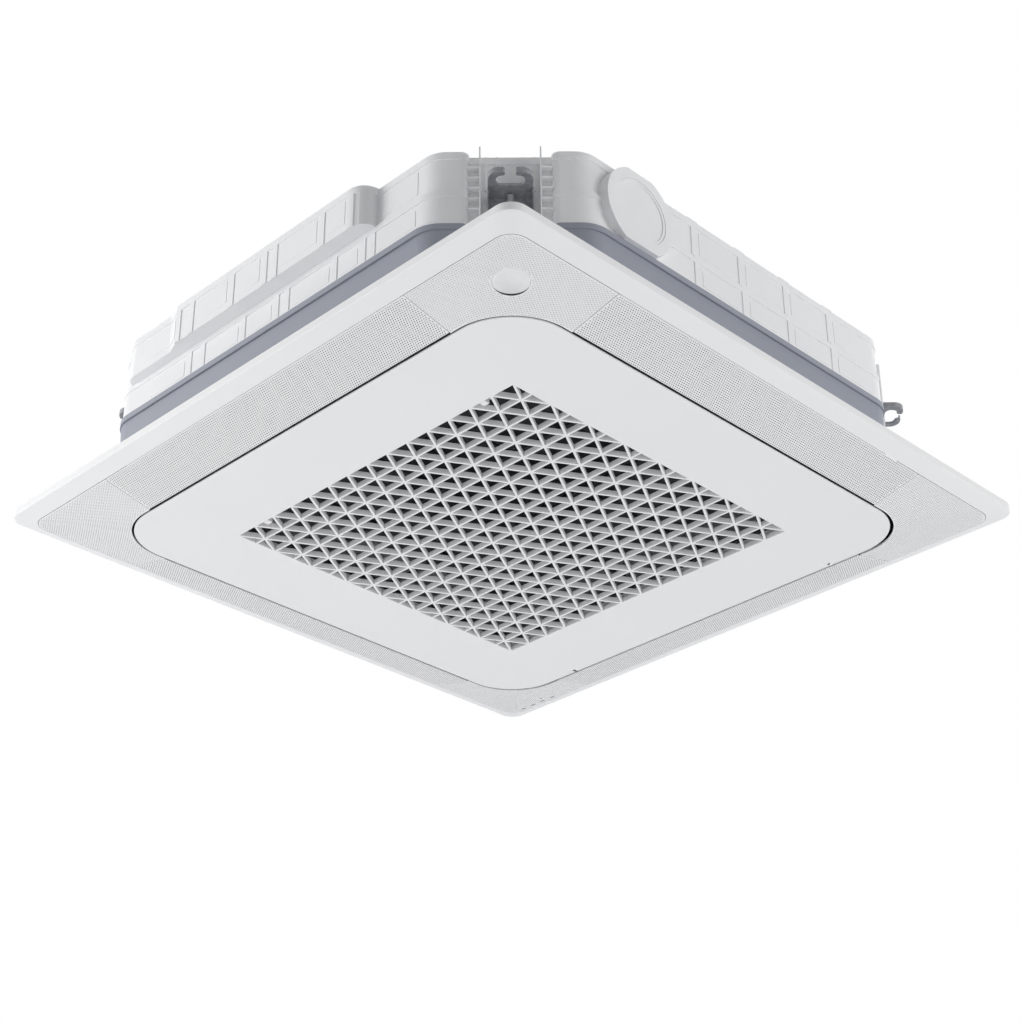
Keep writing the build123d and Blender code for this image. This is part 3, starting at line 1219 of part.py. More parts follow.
def pipe_plate():
    """The steel plate on the rear wall that the pipes and the drain nozzle pass through."""
    edge = PAD_EDGE - 1
    plate = box((PIPE_CUT_X[0] - edge, PIPE_CUT_X[1] + edge), (PAD_Y, PAD_Y + PLATE_T),
                (PIPE_CUT_Z[0] - edge, PIPE_CUT_Z[1] + edge))
    pipes = [(GAS_X, PIPE_Z, GAS_R), (LIQUID_X, LIQUID_Z, LIQUID_R), (PUMP_X, NOZZLE_Z, NOZZLE_R)]
    for x, z, radius in pipes:
        plate -= rod(radius + PIPE_HOLE_ROOM, (x, PAD_Y, z), (x, PANEL_HALF, z))
    return plate


PIPE_HOLE_ROOM = 0.2
NOZZLE_Z = ROOF_Z - 37.0
NOZZLE_WALL = 3.0
NOZZLE_IN = 14.0             # how far the nozzle reaches in from the pad


def drain_nozzle():
    """The drain nozzle outside the rear wall with its collar, fed straight from the pump."""
    inner = PAD_Y - NOZZLE_IN
    outer = STUB_END - 10
    face = PAD_Y + PLATE_T
    tube = rod(NOZZLE_R, (PUMP_X, inner, NOZZLE_Z), (PUMP_X, outer, NOZZLE_Z))
    tube += rod(NOZZLE_R + SKIN, (PUMP_X, face, NOZZLE_Z), (PUMP_X, face + SKIN, NOZZLE_Z))
    floor = inner + NOZZLE_WALL
    return tube - rod(NOZZLE_R - NOZZLE_WALL, (PUMP_X, floor, NOZZLE_Z), (PUMP_X, outer, NOZZLE_Z))


def drain_pump():
    """The drain pump: motor head, stem, open volute and its outlet tube to the nozzle."""
    head = rod(PUMP_HEAD_R, (PUMP_X, PUMP_Y, PUMP_HEAD_Z[0]), (PUMP_X, PUMP_Y, PUMP_HEAD_Z[1]))
    stem = rod(PUMP_STEM_R, (PUMP_X, PUMP_Y, VOLUTE_TOP), (PUMP_X, PUMP_Y, PUMP_HEAD_Z[0]))
    volute = rod(VOLUTE_R, (PUMP_X, PUMP_Y, VOLUTE_LOW), (PUMP_X, PUMP_Y, VOLUTE_TOP))
    volute -= rod(VOLUTE_R - VOLUTE_WALL, (PUMP_X, PUMP_Y, VOLUTE_LOW), (PUMP_X, PUMP_Y, VOLUTE_ROOF))
    start = PUMP_Y + PUMP_HEAD_R / 2
    bore_top = VOLUTE_ROOF + PUMP_BORE
    pipe = rod(PUMP_PIPE_R, (PUMP_X, start, NOZZLE_Z), (PUMP_X, PAD_Y - NOZZLE_IN, NOZZLE_Z))
    bore = rod(PUMP_SHAFT_R + RUNNING, (PUMP_X, PUMP_Y, VOLUTE_ROOF), (PUMP_X, PUMP_Y, bore_top))
    return Part() + head + stem + volute + pipe - bore


PUMP_HEAD_R = 20.0
PUMP_HEAD_Z = (165.0, 218.0)
PUMP_STEM_R = 7.0
PUMP_PIPE_R = 9.0
PUMP_SHAFT_R = 2.0
PUMP_BORE = 12.0
VOLUTE_R = 17.0
VOLUTE_WALL = 3.0
VOLUTE_LOW = PAN_FLOOR - 4.0
VOLUTE_TOP = PAN_TOP + 4.0
VOLUTE_ROOF = PAN_TOP
VANE_ROOM = 2.0              # between the vanes and the volute's wall
VANE_TOP = 74.0
VANE_T = 1.6


def pump_impeller():
    """The drain pump's four-vane impeller and its shaft end."""
    low = VOLUTE_LOW + VANE_ROOM
    hub_top = VANE_TOP + VANE_ROOM
    hub = rod(2 * PUMP_SHAFT_R, (PUMP_X, PUMP_Y, low), (PUMP_X, PUMP_Y, hub_top))
    shaft = rod(PUMP_SHAFT_R, (PUMP_X, PUMP_Y, hub_top), (PUMP_X, PUMP_Y, VOLUTE_ROOF + PUMP_BORE - 1))
    long = 2 * (VOLUTE_R - VOLUTE_WALL - VANE_ROOM)
    tall = VANE_TOP - low
    vanes = Pos(PUMP_X, PUMP_Y, low + tall / 2) * (Box(long, VANE_T, tall) + Box(VANE_T, long, tall))
    return Part() + hub + shaft + vanes


FLOAT_X = 306.0
FLOAT_Y = 250.0
FLOAT_TRAVEL = 8.0
FLOAT_R = 10.0
FLOAT_H = 16.0
FLOAT_LOW = PAN_FLOOR + 6.0
FLOAT_STEM_R = 3.0
SWITCH_LOW = FLOAT_LOW + FLOAT_H + FLOAT_TRAVEL + 7.0
SWITCH_H = 13.0


def float_switch():
    """The float switch: its head and the stem that the float slides on."""
    stem = rod(FLOAT_STEM_R, (FLOAT_X, FLOAT_Y, PAN_FLOOR), (FLOAT_X, FLOAT_Y, SWITCH_LOW))
    head = rod(FLOAT_R - 1, (FLOAT_X, FLOAT_Y, SWITCH_LOW), (FLOAT_X, FLOAT_Y, SWITCH_LOW + SWITCH_H))
    return stem + head


def pan_float():
    """The float, a ring on the switch's stem."""
    low = (FLOAT_X, FLOAT_Y, FLOAT_LOW)
    high = (FLOAT_X, FLOAT_Y, FLOAT_LOW + FLOAT_H)
    return rod(FLOAT_R, low, high) - rod(FLOAT_STEM_R + RUNNING, low, high)


# ---------------------------------------------------------------- control box
BOX_X = (-256.0, -204.0)
BOX_Y = (-150.0, 150.0)
BOX_Z = (BELL_PLATE_Z - 30.0, BELL_PLATE_Z)
BOX_T = 1.2


def control_box():
    """The steel tray under the bell mouth plate, open downward."""
    tray = box(BOX_X, BOX_Y, (BOX_Z[0] + BOX_T, BOX_Z[1]))
    inside = box((BOX_X[0] + BOX_T, BOX_X[1] - BOX_T), (BOX_Y[0] + BOX_T, BOX_Y[1] - BOX_T),
                 (BOX_Z[0], BOX_Z[1] - BOX_T))
    return tray - inside


def control_cover():
    """The tray's flat cover with its edge turned outside."""
    return box(BOX_X, BOX_Y, (BOX_Z[0], BOX_Z[0] + BOX_T))


def main_board():
    """The main circuit board with its larger parts, on spacers under the tray's roof."""
    top = BOX_Z[1] - BOX_T - SPACER
    face = top - BOARD_T
    edge_x = (BOX_X[0] + SPACER, BOX_X[1] - SPACER)
    board = box(edge_x, MAIN_BOARD_Y, (face, top))
    spacers = [
        rod(SPACER / 2, (x, y, top), (x, y, top + SPACER))
        for x in (edge_x[0] + SPACER, edge_x[1] - SPACER)
        for y in (MAIN_BOARD_Y[0] + SPACER, MAIN_BOARD_Y[1] - SPACER)
    ]
    blocks = [
        box((x, x + wide), (y, y + deep), (face - tall, face))
        for x, y, wide, deep, tall in BOARD_BLOCKS
    ]
    return Part() + board + spacers + blocks


SPACER = 4.0
MAIN_BOARD_Y = (-60.0, BOX_Y[1] - 6.0)

# Each larger part on the board: its lower corner, its width, depth and height.
BOARD_BLOCKS = (
    (BOX_X[0] + 12.0, 20.0, 22.0, 30.0, 12.0),
    (BOX_X[0] + 16.0, 80.0, 24.0, 16.0, 9.0),
)


def terminal_block():
    """The terminal block for the supply, at the tray's front end, with a well for each screw."""
    top = BOX_Z[1] - BOX_T
    edge_x = (BOX_X[0] + TERMINAL_IN, BOX_X[1] - TERMINAL_IN)
    block = box(edge_x, TERMINAL_Y, (top - TERMINAL_H, top))
    pitch = (TERMINAL_Y[1] - TERMINAL_Y[0]) / TERMINALS
    for step in range(TERMINALS):
        y = TERMINAL_Y[0] + (step + 0.5) * pitch
        well = (edge_x[0] + TERMINAL_IN, edge_x[1] - TERMINAL_IN)
        block -= box(well, (y - WELL_HALF, y + WELL_HALF), (top - TERMINAL_H, top - TERMINAL_H + WELL_DEEP))
    return block


TERMINALS = 4
TERMINAL_Y = (-140.0, -80.0)
TERMINAL_H = 14.0
TERMINAL_IN = 8.0
WELL_HALF = 4.0
WELL_DEEP = 6.0


def cable_gland():
    """The cable gland on the band's left wall."""
    y, z = GLAND_Y, GLAND_Z
    drop = BAND_TOP - LIP_HEIGHT - z - GLAND_R
    wall = BODY_HALF - LIP_OUT - drop * tan(radians(BAND_DRAFT))
    nut = Plane(origin=(-wall, y, z), z_dir=(-1, 0, 0)) * (RegularPolygon(GLAND_R, 6) - Circle(GLAND_BORE))
    dome = rod(GLAND_DOME_R, (-wall - GLAND_NUT, y, z), (-wall - GLAND_LONG, y, z))
    dome -= rod(GLAND_BORE, (-wall, y, z), (-wall - GLAND_LONG, y, z))
    return extrude(nut, amount=GLAND_NUT) + dome


GLAND_Y = -120.0
GLAND_Z = 98.0
GLAND_R = 15.0
GLAND_BORE = 7.0
GLAND_LONG = 20.0
GLAND_NUT = 8.0
GLAND_DOME_R = 11.0


def thermistors():
    """The room sensor on the bell mouth plate and the coil sensor on the coil's inner face."""
    z = BELL_PLATE_Z - SENSOR_R
    room = rod(SENSOR_R, (ROOM_SENSOR_X, ROOM_SENSOR_Y, z), (ROOM_SENSOR_X, ROOM_SENSOR_Y + SENSOR_LONG, z))
    x = COIL_OUT - COIL_T - SENSOR_R
    return Compound([room, rod(SENSOR_R, (x, 0, COIL_SENSOR_Z), (x, 0, COIL_SENSOR_Z + SENSOR_LONG))])


SENSOR_R = 3.0
SENSOR_LONG = 30.0
ROOM_SENSOR_X = 232.0
ROOM_SENSOR_Y = -200.0
COIL_SENSOR_Z = 120.0


# ---------------------------------------------------------------- seals and screws
def foam_seals():
    """Foam between panel and body: one ring inside the outlets and one outside them."""
    edge = DUCT_LOW_IN - SEAL_IN
    inner = square(edge, PAN_R) - square(edge - SEAL_WIDE, PAN_R - SEAL_WIDE / 2)
    outer = body_plan(0, BAND_IN + BELL_FIT) & (square(BODY_HALF, PAN_R) - square(DUCT_OUT + 1, PAN_R / 2))
    return Compound(slab(inner, PANEL_HEIGHT, BODY_Z).solids() + slab(outer, PANEL_HEIGHT, BODY_Z).solids())


SEAL_IN = 2.0
SEAL_WIDE = 12.0


def screws():
    """The four screws that hold the panel's deck to the body, and two in each hanger's leg."""
    parts = []
    for x, y in PANEL_SCREWS:
        shank = rod(SCREW_R, (x, y, DECK_Z), (x, y, BODY_Z + SCREW_BITE))
        parts.append(shank + rod(SCREW_HEAD_R, (x, y, DECK_Z - SCREW_HEAD_T), (x, y, DECK_Z)))
    z = HANGER_Z - HANGER_HOLE_DROP
    leg = POCKET_FLOOR + HANGER_T
    for angle, _, _ in CORNERS.values():
        for way in (-1, 1):
            y = way * HANGER_HOLE_AT
            head = rod(LEG_HEAD_R, (leg, y, z), (leg + LEG_HEAD_T, y, z))
            parts.append(Rot(0, 0, angle) * (head + rod(SCREW_R, (POCKET_FLOOR, y, z), (leg, y, z))))
    return Compound(parts)


SCREW_HEAD_T = 4.0
LEG_HEAD_R = 5.0
LEG_HEAD_T = 3.0


# ---------------------------------------------------------------- the whole unit
def build():
    """Make every sub-part and write it to its own file."""
    save("panel_frame", panel_frame())
    front_blade = blade()
    front_motor = blade_motor()
    for side, turn in SIDES.items():
        save("blade_" + side, Rot(0, 0, turn) * front_blade)
        save("blade_motor_" + side, Rot(0, 0, turn) * front_motor)
    for name in CORNERS:
        save("corner_cover_" + name, corner_cover(name))
        save("hanger_" + name, hanger(name))
    save("sensor_cap", sensor_cap())
    save("display_lenses", display_lenses())
    save("display_board", display_board())
    save("intake_grille", grille_panel() + latch_guides())
    save("grille_hinge_pins", hinge_pins())
    save("latch_left", latch(-1))
    save("latch_right", latch(1))
    save("latch_springs", latch_springs())
    save("filter_frame", filter_frame())
    save("filter_mesh", filter_mesh())
    save("side_band", side_band())
    save("upper_casing", upper_casing())
    save("knockout_disc", knockout_disc())
    save("top_plate", top_plate())
    save("foam_liner", liner())
    save("drain_pan", drain_pan())
    save("bell_mouth", bell_mouth())
    save("fan_hub", fan_hub())
    save("fan_shroud", fan_shroud())
    save("fan_shaft", fan_shaft())
    save("fan_nut", fan_nut())
    save("fan_motor", fan_motor())
    save("motor_mount", motor_mount())
    save("motor_cushions", motor_cushions())
    save("coil_fins", coil_fins())
    save("coil_hairpins", coil_hairpins())
    save("gas_pipe", gas_pipe())
    save("liquid_pipe", liquid_pipe())
    save("flare_unions", flare_unions())
    save("pipe_plate", pipe_plate())
    save("drain_nozzle", drain_nozzle())
    save("drain_pump", drain_pump())
    save("pump_impeller", pump_impeller())
    save("float_switch", float_switch())
    save("pan_float", pan_float())
    save("control_box", control_box())
    save("control_cover", control_cover())
    save("main_board", main_board())
    save("terminal_block", terminal_block())
    save("cable_gland", cable_gland())
    save("thermistors", thermistors())
    save("foam_seals", foam_seals())
    save("screws", screws())


build()
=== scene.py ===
"""Looks of a four-way ceiling cassette air conditioner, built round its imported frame."""

from __future__ import annotations

import logging
import math
from dataclasses import dataclass
from enum import Enum, IntEnum

import bmesh
import bpy
from mathutils import Matrix, Vector
from mathutils.geometry import delaunay_2d_cdt


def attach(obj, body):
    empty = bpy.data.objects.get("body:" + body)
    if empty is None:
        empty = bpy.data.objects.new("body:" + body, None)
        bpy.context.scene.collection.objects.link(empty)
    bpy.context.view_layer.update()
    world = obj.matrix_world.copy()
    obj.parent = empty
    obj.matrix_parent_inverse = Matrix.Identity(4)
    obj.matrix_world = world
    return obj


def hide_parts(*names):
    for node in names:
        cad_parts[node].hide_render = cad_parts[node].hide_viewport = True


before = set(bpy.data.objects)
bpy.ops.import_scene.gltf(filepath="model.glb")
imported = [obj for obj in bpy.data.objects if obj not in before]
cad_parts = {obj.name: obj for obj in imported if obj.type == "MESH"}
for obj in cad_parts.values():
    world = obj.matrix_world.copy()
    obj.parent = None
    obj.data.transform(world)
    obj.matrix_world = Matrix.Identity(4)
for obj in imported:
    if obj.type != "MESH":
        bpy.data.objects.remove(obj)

LOG = logging.getLogger("cassette")
MM = 0.001
WELD = 0.002 * MM  # corners closer than this are one
HAIR = 1e-7  # corners closer than this to a cut lie on it, in metres
Point = tuple[float, float]
Place = tuple[float, float, float]
Loop = list[Point]
Shape = bmesh.types.BMesh
Vert = bmesh.types.BMVert
Tree = bpy.types.NodeTree
Socket = bpy.types.NodeSocket


# ---- shared helpers
def linear(code: str) -> tuple[float, float, float, float]:
    """Turns an sRGB hex colour to the linear values that shaders take.

    Args:
        code: Six hex digits after a hash.

    Returns:
        Red, green, blue and an alpha of one.
    """
    parts = [int(code[i : i + 2], 16) / 255 for i in (1, 3, 5)]
    return (*[p / 12.92 if p <= 0.04045 else ((p + 0.055) / 1.055) ** 2.4 for p in parts], 1.0)


def add_node(
    tree: Tree,
    kind: str,
    settings: dict[str | int, object] | None = None,
    links: dict[str | int, Socket] | None = None,
) -> bpy.types.Node:
    """Adds a node with its settings and links.

    Args:
        tree: The node tree that it goes in.
        kind: The node's type name.
        settings: Values by the name of a property, or by the name or number of an input.
        links: Sockets to link from, by the name or number of the input they go to.

    Returns:
        The new node.
    """
    node = tree.nodes.new(kind)
    for name, value in (settings or {}).items():
        if isinstance(name, str) and hasattr(node, name):
            setattr(node, name, value)
        else:
            node.inputs[name].default_value = value
    for name, source in (links or {}).items():
        tree.links.new(source, node.inputs[name])
    return node


# ---- finishes
@dataclass(frozen=True)
class Pattern:
    """What a finish draws on the surface, as sockets with values from 0 to 1."""

    tone: Socket  # share of the second tone
    height: Socket
    gloss: Socket | None = None  # what the roughness follows, or None where it is even


@dataclass(frozen=True)
class Finish:
    """What every finish shares: its two tones, its gloss, its relief and its optical values."""

    name: str
    colour: str  # its lighter tone, or the one that covers most of it
    shade: str  # the other tone
    roughness: float
    metallic: float = 0.0
    ior: float = 1.5
    clear: float = 0.0  # share of the light that passes through
    strength: float = 0.3  # strength of the relief
    depth: float = 0.05  # its depth in mm
    swing: tuple[float, float] = (0.0, 0.0)  # gain in roughness at the two ends of the gloss pattern
    span: tuple[float, float] = (0.3, 0.7)  # values of the gloss pattern at those ends
    shade_low: bool = False  # whether low values of the tone pattern take the shade

    def material(self) -> bpy.types.Material:
        """Makes the material at the first call and gives the same one after that.

        Returns:
            The finish as a material.
        """
        made = bpy.data.materials.get(self.name)
        if made:
            return made
        made = bpy.data.materials.new(self.name)
        made.use_nodes = True
        tree = made.node_tree
        tree.nodes.clear()
        pattern = self.draw(tree, add_node(tree, "ShaderNodeTexCoord").outputs["Object"])
        first, second = linear(self.colour), linear(self.shade)
        if self.shade_low:
            first, second = second, first
        tones = {"data_type": "RGBA", 6: first, 7: second}
        tone = add_node(tree, "ShaderNodeMix", tones, {0: pattern.tone})
        relief = {"Strength": self.strength, "Distance": self.depth * MM}
        bump = add_node(tree, "ShaderNodeBump", relief, {"Height": pattern.height})
        links = {"Base Color": tone.outputs[2], "Normal": bump.outputs[0]}
        if pattern.gloss is not None:
            low, high = (self.roughness + change for change in self.swing)
            ends = {"From Min": self.span[0], "From Max": self.span[1], "To Min": low, "To Max": high}
            gloss = add_node(tree, "ShaderNodeMapRange", ends, {"Value": pattern.gloss})
            links["Roughness"] = gloss.outputs[0]
        values = {"Roughness": self.roughness, "Metallic": self.metallic, "IOR": self.ior}
        values["Transmission Weight"] = self.clear
        shader = add_node(tree, "ShaderNodeBsdfPrincipled", values, links)
        add_node(tree, "ShaderNodeOutputMaterial", links={"Surface": shader.outputs[0]})
        return made

    def draw(self, tree: Tree, place: Socket) -> Pattern:
        """Draws the finish's own pattern.

        Args:
            tree: The material's node tree.
            place: Coordinates on the object in metres.

        Returns:
            What tone, gloss and relief follow.
        """
        raise NotImplementedError


@dataclass(frozen=True)
class MouldedPlastic(Finish):
    """Injection-moulded plastic with the fine grain of a spark-eroded mould."""

    ior: float = 1.53
    strength: float = 0.35
    depth: float = 0.02
    swing: tuple[float, float] = (-0.04, 0.06)
    grain: float = 1.1  # size of the grain in mm, drawn coarser than the real 0.2 mm so that it shows
    drift: float = 180.0  # distance in mm over which the tone wanders, as resin flow leaves it

    def draw(self, tree: Tree, place: Socket) -> Pattern:
        """Draws tone drift, and a grain that gloss and relief follow."""
        clouds = {"Scale": 1000 / self.drift, "Detail": 2.0}
        flow = add_node(tree, "ShaderNodeTexNoise", clouds, {"Vector": place})
        grain = {"Scale": 1000 / self.grain, "Detail": 3.0, "Roughness": 0.6}
        pits = add_node(tree, "ShaderNodeTexNoise", grain, {"Vector": place})
        return Pattern(flow.outputs[0], pits.outputs[0], pits.outputs[0])


@dataclass(frozen=True)
class BeadFoam(Finish):
    """Expanded polystyrene: fused beads whose borders show as a fine net of grooves."""

    strength: float = 0.6
    depth: float = 0.25
    shade_low: bool = True
    bead: float = 4.0  # bead size in mm
    groove: float = 0.16  # reach of a groove from the beads' border, as a share of their size

    def draw(self, tree: Tree, place: Socket) -> Pattern:
        """Draws bead borders as shallow grooves, darkened with painted shade."""
        cells = {"feature": "DISTANCE_TO_EDGE", "Scale": 1000 / self.bead}
        beads = add_node(tree, "ShaderNodeTexVoronoi", cells, {"Vector": place})
        reach = {"From Max": self.groove}
        border = add_node(tree, "ShaderNodeMapRange", reach, {"Value": beads.outputs["Distance"]})
        return Pattern(border.outputs[0], border.outputs[0])


@dataclass(frozen=True)
class CellFoam(Finish):
    """Soft closed-cell foam or rubber: matt, with open pores on its cut face."""

    strength: float = 0.5
    depth: float = 0.2
    shade_low: bool = True
    pore: float = 1.6  # pore size in mm

    def draw(self, tree: Tree, place: Socket) -> Pattern:
        """Draws pores as dips in relief, darkened with painted shade."""
        pores = add_node(tree, "ShaderNodeTexVoronoi", {"Scale": 1000 / self.pore}, {"Vector": place})
        return Pattern(pores.outputs["Distance"], pores.outputs["Distance"])


@dataclass(frozen=True)
class ZincSheet(Finish):
    """Hot-dip zinc-coated steel sheet: angular spangles, each a little lighter or duller than the next."""

    metallic: float = 1.0
    strength: float = 0.25
    swing: tuple[float, float] = (-0.08, 0.1)
    span: tuple[float, float] = (0.0, 1.0)
    spangle: float = 9.0  # spangle size in mm
    line: float = 50 / 3  # length in mm of the lines that the rolls leave
    narrow: float = 14.0  # how many times narrower than long those lines are

    def draw(self, tree: Tree, place: Socket) -> Pattern:
        """Draws spangles in tone and gloss over the fine lines that the rolls leave."""
        spangles = {"Scale": 1000 / self.spangle, "Randomness": 1.0}
        flakes = add_node(tree, "ShaderNodeTexVoronoi", spangles, {"Vector": place})
        grey = add_node(tree, "ShaderNodeSeparateColor", links={0: flakes.outputs["Color"]})
        across = {"Scale": (1.0, self.narrow, self.narrow)}
        stretch = add_node(tree, "ShaderNodeMapping", across, {"Vector": place})
        lines = {"Scale": 1000 / self.line, "Detail": 3.0}
        rolls = add_node(tree, "ShaderNodeTexNoise", lines, {"Vector": stretch.outputs[0]})
        return Pattern(grey.outputs[0], rolls.outputs[0], grey.outputs[1])


@dataclass(frozen=True)
class WorkedMetal(Finish):
    """Drawn, turned or pressed metal: tarnish in soft clouds and fine marks along one axis."""

    metallic: float = 1.0
    depth: float = 0.03
    swing: tuple[float, float] = (-0.06, 0.1)
    lines: float = 0.8  # spacing of the working marks in mm
    along: Place = (1.0, 0.05, 1.0)  # their stretch; a small value runs them along that axis
    tarnish: float = 22.0  # size of the tarnish clouds in mm

    def draw(self, tree: Tree, place: Socket) -> Pattern:
        """Draws tarnish in the colour and working marks in gloss and relief."""
        patches = {"Scale": 1000 / self.tarnish, "Detail": 4.0}
        clouds = add_node(tree, "ShaderNodeTexNoise", patches, {"Vector": place})
        stretch = add_node(tree, "ShaderNodeMapping", {"Scale": self.along}, {"Vector": place})
        lines = {"Scale": 1000 / self.lines, "Detail": 2.0}
        marks = add_node(tree, "ShaderNodeTexNoise", lines, {"Vector": stretch.outputs[0]})
        return Pattern(clouds.outputs[0], marks.outputs[0], marks.outputs[0])


@dataclass(frozen=True)
class FinPack(Finish):
    """Stacked aluminium fins: bright edges, with painted shade in the gaps between them."""

    metallic: float = 1.0
    strength: float = 0.8
    depth: float = 0.4
    shade_low: bool = True
    pitch: float = 3.2  # fin spacing in mm, drawn at twice the real 1.6 mm so that it shows
    edge: float = 0.6  # height of the wave at which a fin shows its full bright tone; as far below 0 it takes the painted shade of the gaps

    def draw(self, tree: Tree, place: Socket) -> Pattern:
        """Draws upright fin edges across both horizontal axes, in tone and relief, with painted shade in
        the gaps between them.
        """
        split = add_node(tree, "ShaderNodeSeparateXYZ", links={0: place}).outputs
        run = add_node(tree, "ShaderNodeMath", {"operation": "ADD"}, {0: split[0], 1: split[1]})
        per_metre = {"operation": "MULTIPLY", 1: 2 * math.pi / (self.pitch * MM)}
        turns = add_node(tree, "ShaderNodeMath", per_metre, {0: run.outputs[0]})
        wave = add_node(tree, "ShaderNodeMath", {"operation": "SINE"}, {0: turns.outputs[0]})
        ends = {"From Min": -self.edge, "From Max": self.edge}
        edge = add_node(tree, "ShaderNodeMapRange", ends, {"Value": wave.outputs[0]})
        return Pattern(edge.outputs[0], edge.outputs[0])


@dataclass(frozen=True)
class BoardLaminate(Finish):
    """Glass-epoxy circuit board under green lacquer, its copper tracks showing as lighter lines."""

    track: float = 5.0  # spacing of the tracks in mm
    flank: tuple[float, float] = (0.42, 0.46)  # start and end of a track's flank, as shares of that

    def draw(self, tree: Tree, place: Socket) -> Pattern:
        """Draws blocky tracks in tone and as low ridges under the lacquer."""
        blocks = {"distance": "CHEBYCHEV", "Scale": 1000 / self.track, "Randomness": 0.7}
        tracks = add_node(tree, "ShaderNodeTexVoronoi", blocks, {"Vector": place})
        ends = {"From Min": self.flank[0], "From Max": self.flank[1]}
        step = add_node(tree, "ShaderNodeMapRange", ends, {"Value": tracks.outputs["Distance"]})
        return Pattern(step.outputs[0], step.outputs[0])


# Painted shade: a dark grey on the panel's white ABS inside the louvres' perforation, for the shade of the
# hollow behind it.
PIT_PAINTED_SHADE = MouldedPlastic("moulded_abs_pit_painted_shade", "#7a7c80", "#727478", 0.6, grain=0.8)
# Painted shade: a light grey on the walls of the covers' shallow dimples in the panel's white ABS, so that
# they only just show.
DIMPLE_PAINTED_SHADE = MouldedPlastic("moulded_abs_dimple_painted_shade", "#c9cacc", "#c2c3c6", 0.6, grain=0.8)
# Painted shade: a near black on the panel's white ABS at the frame's inner faces, the grille's border and
# the seams, so that openings look black.
OPENING_PAINTED_SHADE = MouldedPlastic("moulded_abs_painted_shade", "#2e3033", "#292b2e", 0.7, grain=1.4)


class Slot(Enum):
    """The record's material slots, each with its finish."""

    # Moulded ABS of the panel: a soft white with a faint satin grain.
    panel_white = MouldedPlastic("moulded_abs_white", "#f7f7f6", "#f3f3f4", 0.42)
    # Natural polypropylene: a milky white whose tone wanders softly, with a waxy gloss.
    casing_milky = MouldedPlastic(
        "moulded_polypropylene_natural", "#fbfbfb", "#f4f5f6", 0.36, ior=1.49, drift=60.0
    )
    # Blue-grey ABS of the band, with a coarser mould grain that dulls it.
    band_grey = MouldedPlastic("moulded_abs_blue_grey", "#a3a7b2", "#9a9eaa", 0.48, grain=1.6, depth=0.03)
    # Zinc-coated hanger steel, its shine taken down by the chromate film.
    hanger_steel = ZincSheet("zinc_steel_chromated", "#aaacb0", "#96989d", 0.5, metallic=0.35, spangle=5.0)
    # Zinc-coated sheet of roof, control box and pipe plate, with broad spangles gone a little dull.
    steel_plate = ZincSheet("zinc_steel_spangled", "#c9ccce", "#b4b8bc", 0.46, metallic=0.7, spangle=12.0)
    # Expanded polystyrene of liner and drain pan.
    foam_white = BeadFoam("expanded_polystyrene", "#f1f2f2", "#d9dbdd", 0.75)
    # Closed-cell polyethylene of the gaskets.
    foam_black = CellFoam("polyethylene_foam_black", "#2b2c2e", "#161718", 0.85)
    # Glass-filled fan plastic, dull; its dark grey is painted shade for the dark inside seen through the
    # grille, though such fans are mostly grey or white.
    fan_plastic = MouldedPlastic("moulded_fan_plastic_painted_shade", "#4a4d51", "#3f4246", 0.5, grain=1.4)
    # Powder-coated motor can.
    motor_black = MouldedPlastic("powder_coat_black", "#222325", "#1b1c1e", 0.5, grain=0.9, depth=0.05)
    # Turned steel of shaft, nut, pins, springs and screws, its marks running round.
    steel_bright = WorkedMetal("turned_steel", "#b9bbbe", "#9c9fa3", 0.28, along=(1.0, 1.0, 0.06))
    # Aluminium fins on edge, with painted shade in the gaps between them.
    aluminium_fin = FinPack("aluminium_fins", "#d3d6d8", "#5b5e61", 0.35)
    # Drawn copper tube, browned in patches.
    copper = WorkedMetal("drawn_copper", "#c9805a", "#9a5a3c", 0.26)
    # Hot-pressed brass of the pipe unions.
    brass_nut = WorkedMetal("pressed_brass", "#c8a65a", "#a5853f", 0.3)
    # Moulded rubber cushions.
    rubber_black = CellFoam("moulded_rubber_black", "#242526", "#1a1b1c", 0.7, pore=2.4)
    # Lacquered circuit board.
    board_green = BoardLaminate("glass_epoxy_green", "#1e5a3a", "#3c8259", 0.3)
    # Smoked acrylic of the display's light guides, dark until lit.
    lens_smoke = MouldedPlastic(
        "smoked_acrylic", "#8f9296", "#86898d", 0.12, ior=1.49, grain=3.0, depth=0.005, clear=0.3
    )
    # Moulded PBT of the louvre motors and terminal block.
    motor_white = MouldedPlastic("moulded_pbt_white", "#e6e5e1", "#dddcd8", 0.45)
    # Woven polyester strands of the filter in a dark grey of their own, darkened further with painted shade
    # for the dark inside behind it, which lets the lattice stand out.
    mesh_grey = MouldedPlastic("woven_polyester_grey", "#26282b", "#1d1f21", 0.7, grain=2.0, drift=40.0)
    # White polypropylene of the drain pump and nozzle.
    pump_white = MouldedPlastic("moulded_polypropylene_white", "#e9ebec", "#dfe2e4", 0.4)
    # Foamed polypropylene of the float.
    float_white = BeadFoam("foamed_polypropylene", "#efede6", "#d8d6cf", 0.6, bead=1.5, depth=0.1)


def dress(slot: Slot, *nodes: str) -> None:
    """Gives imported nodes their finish.

    Args:
        slot: The material slot whose finish they take.
        nodes: Names of the nodes.
    """
    for name in nodes:
        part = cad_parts[name]
        if not part.material_slots:
            part.data.materials.append(slot.value.material())
        for holder in part.material_slots:
            holder.material = slot.value.material()
        LOG.info("%s is dressed in %s", name, slot.value.name)


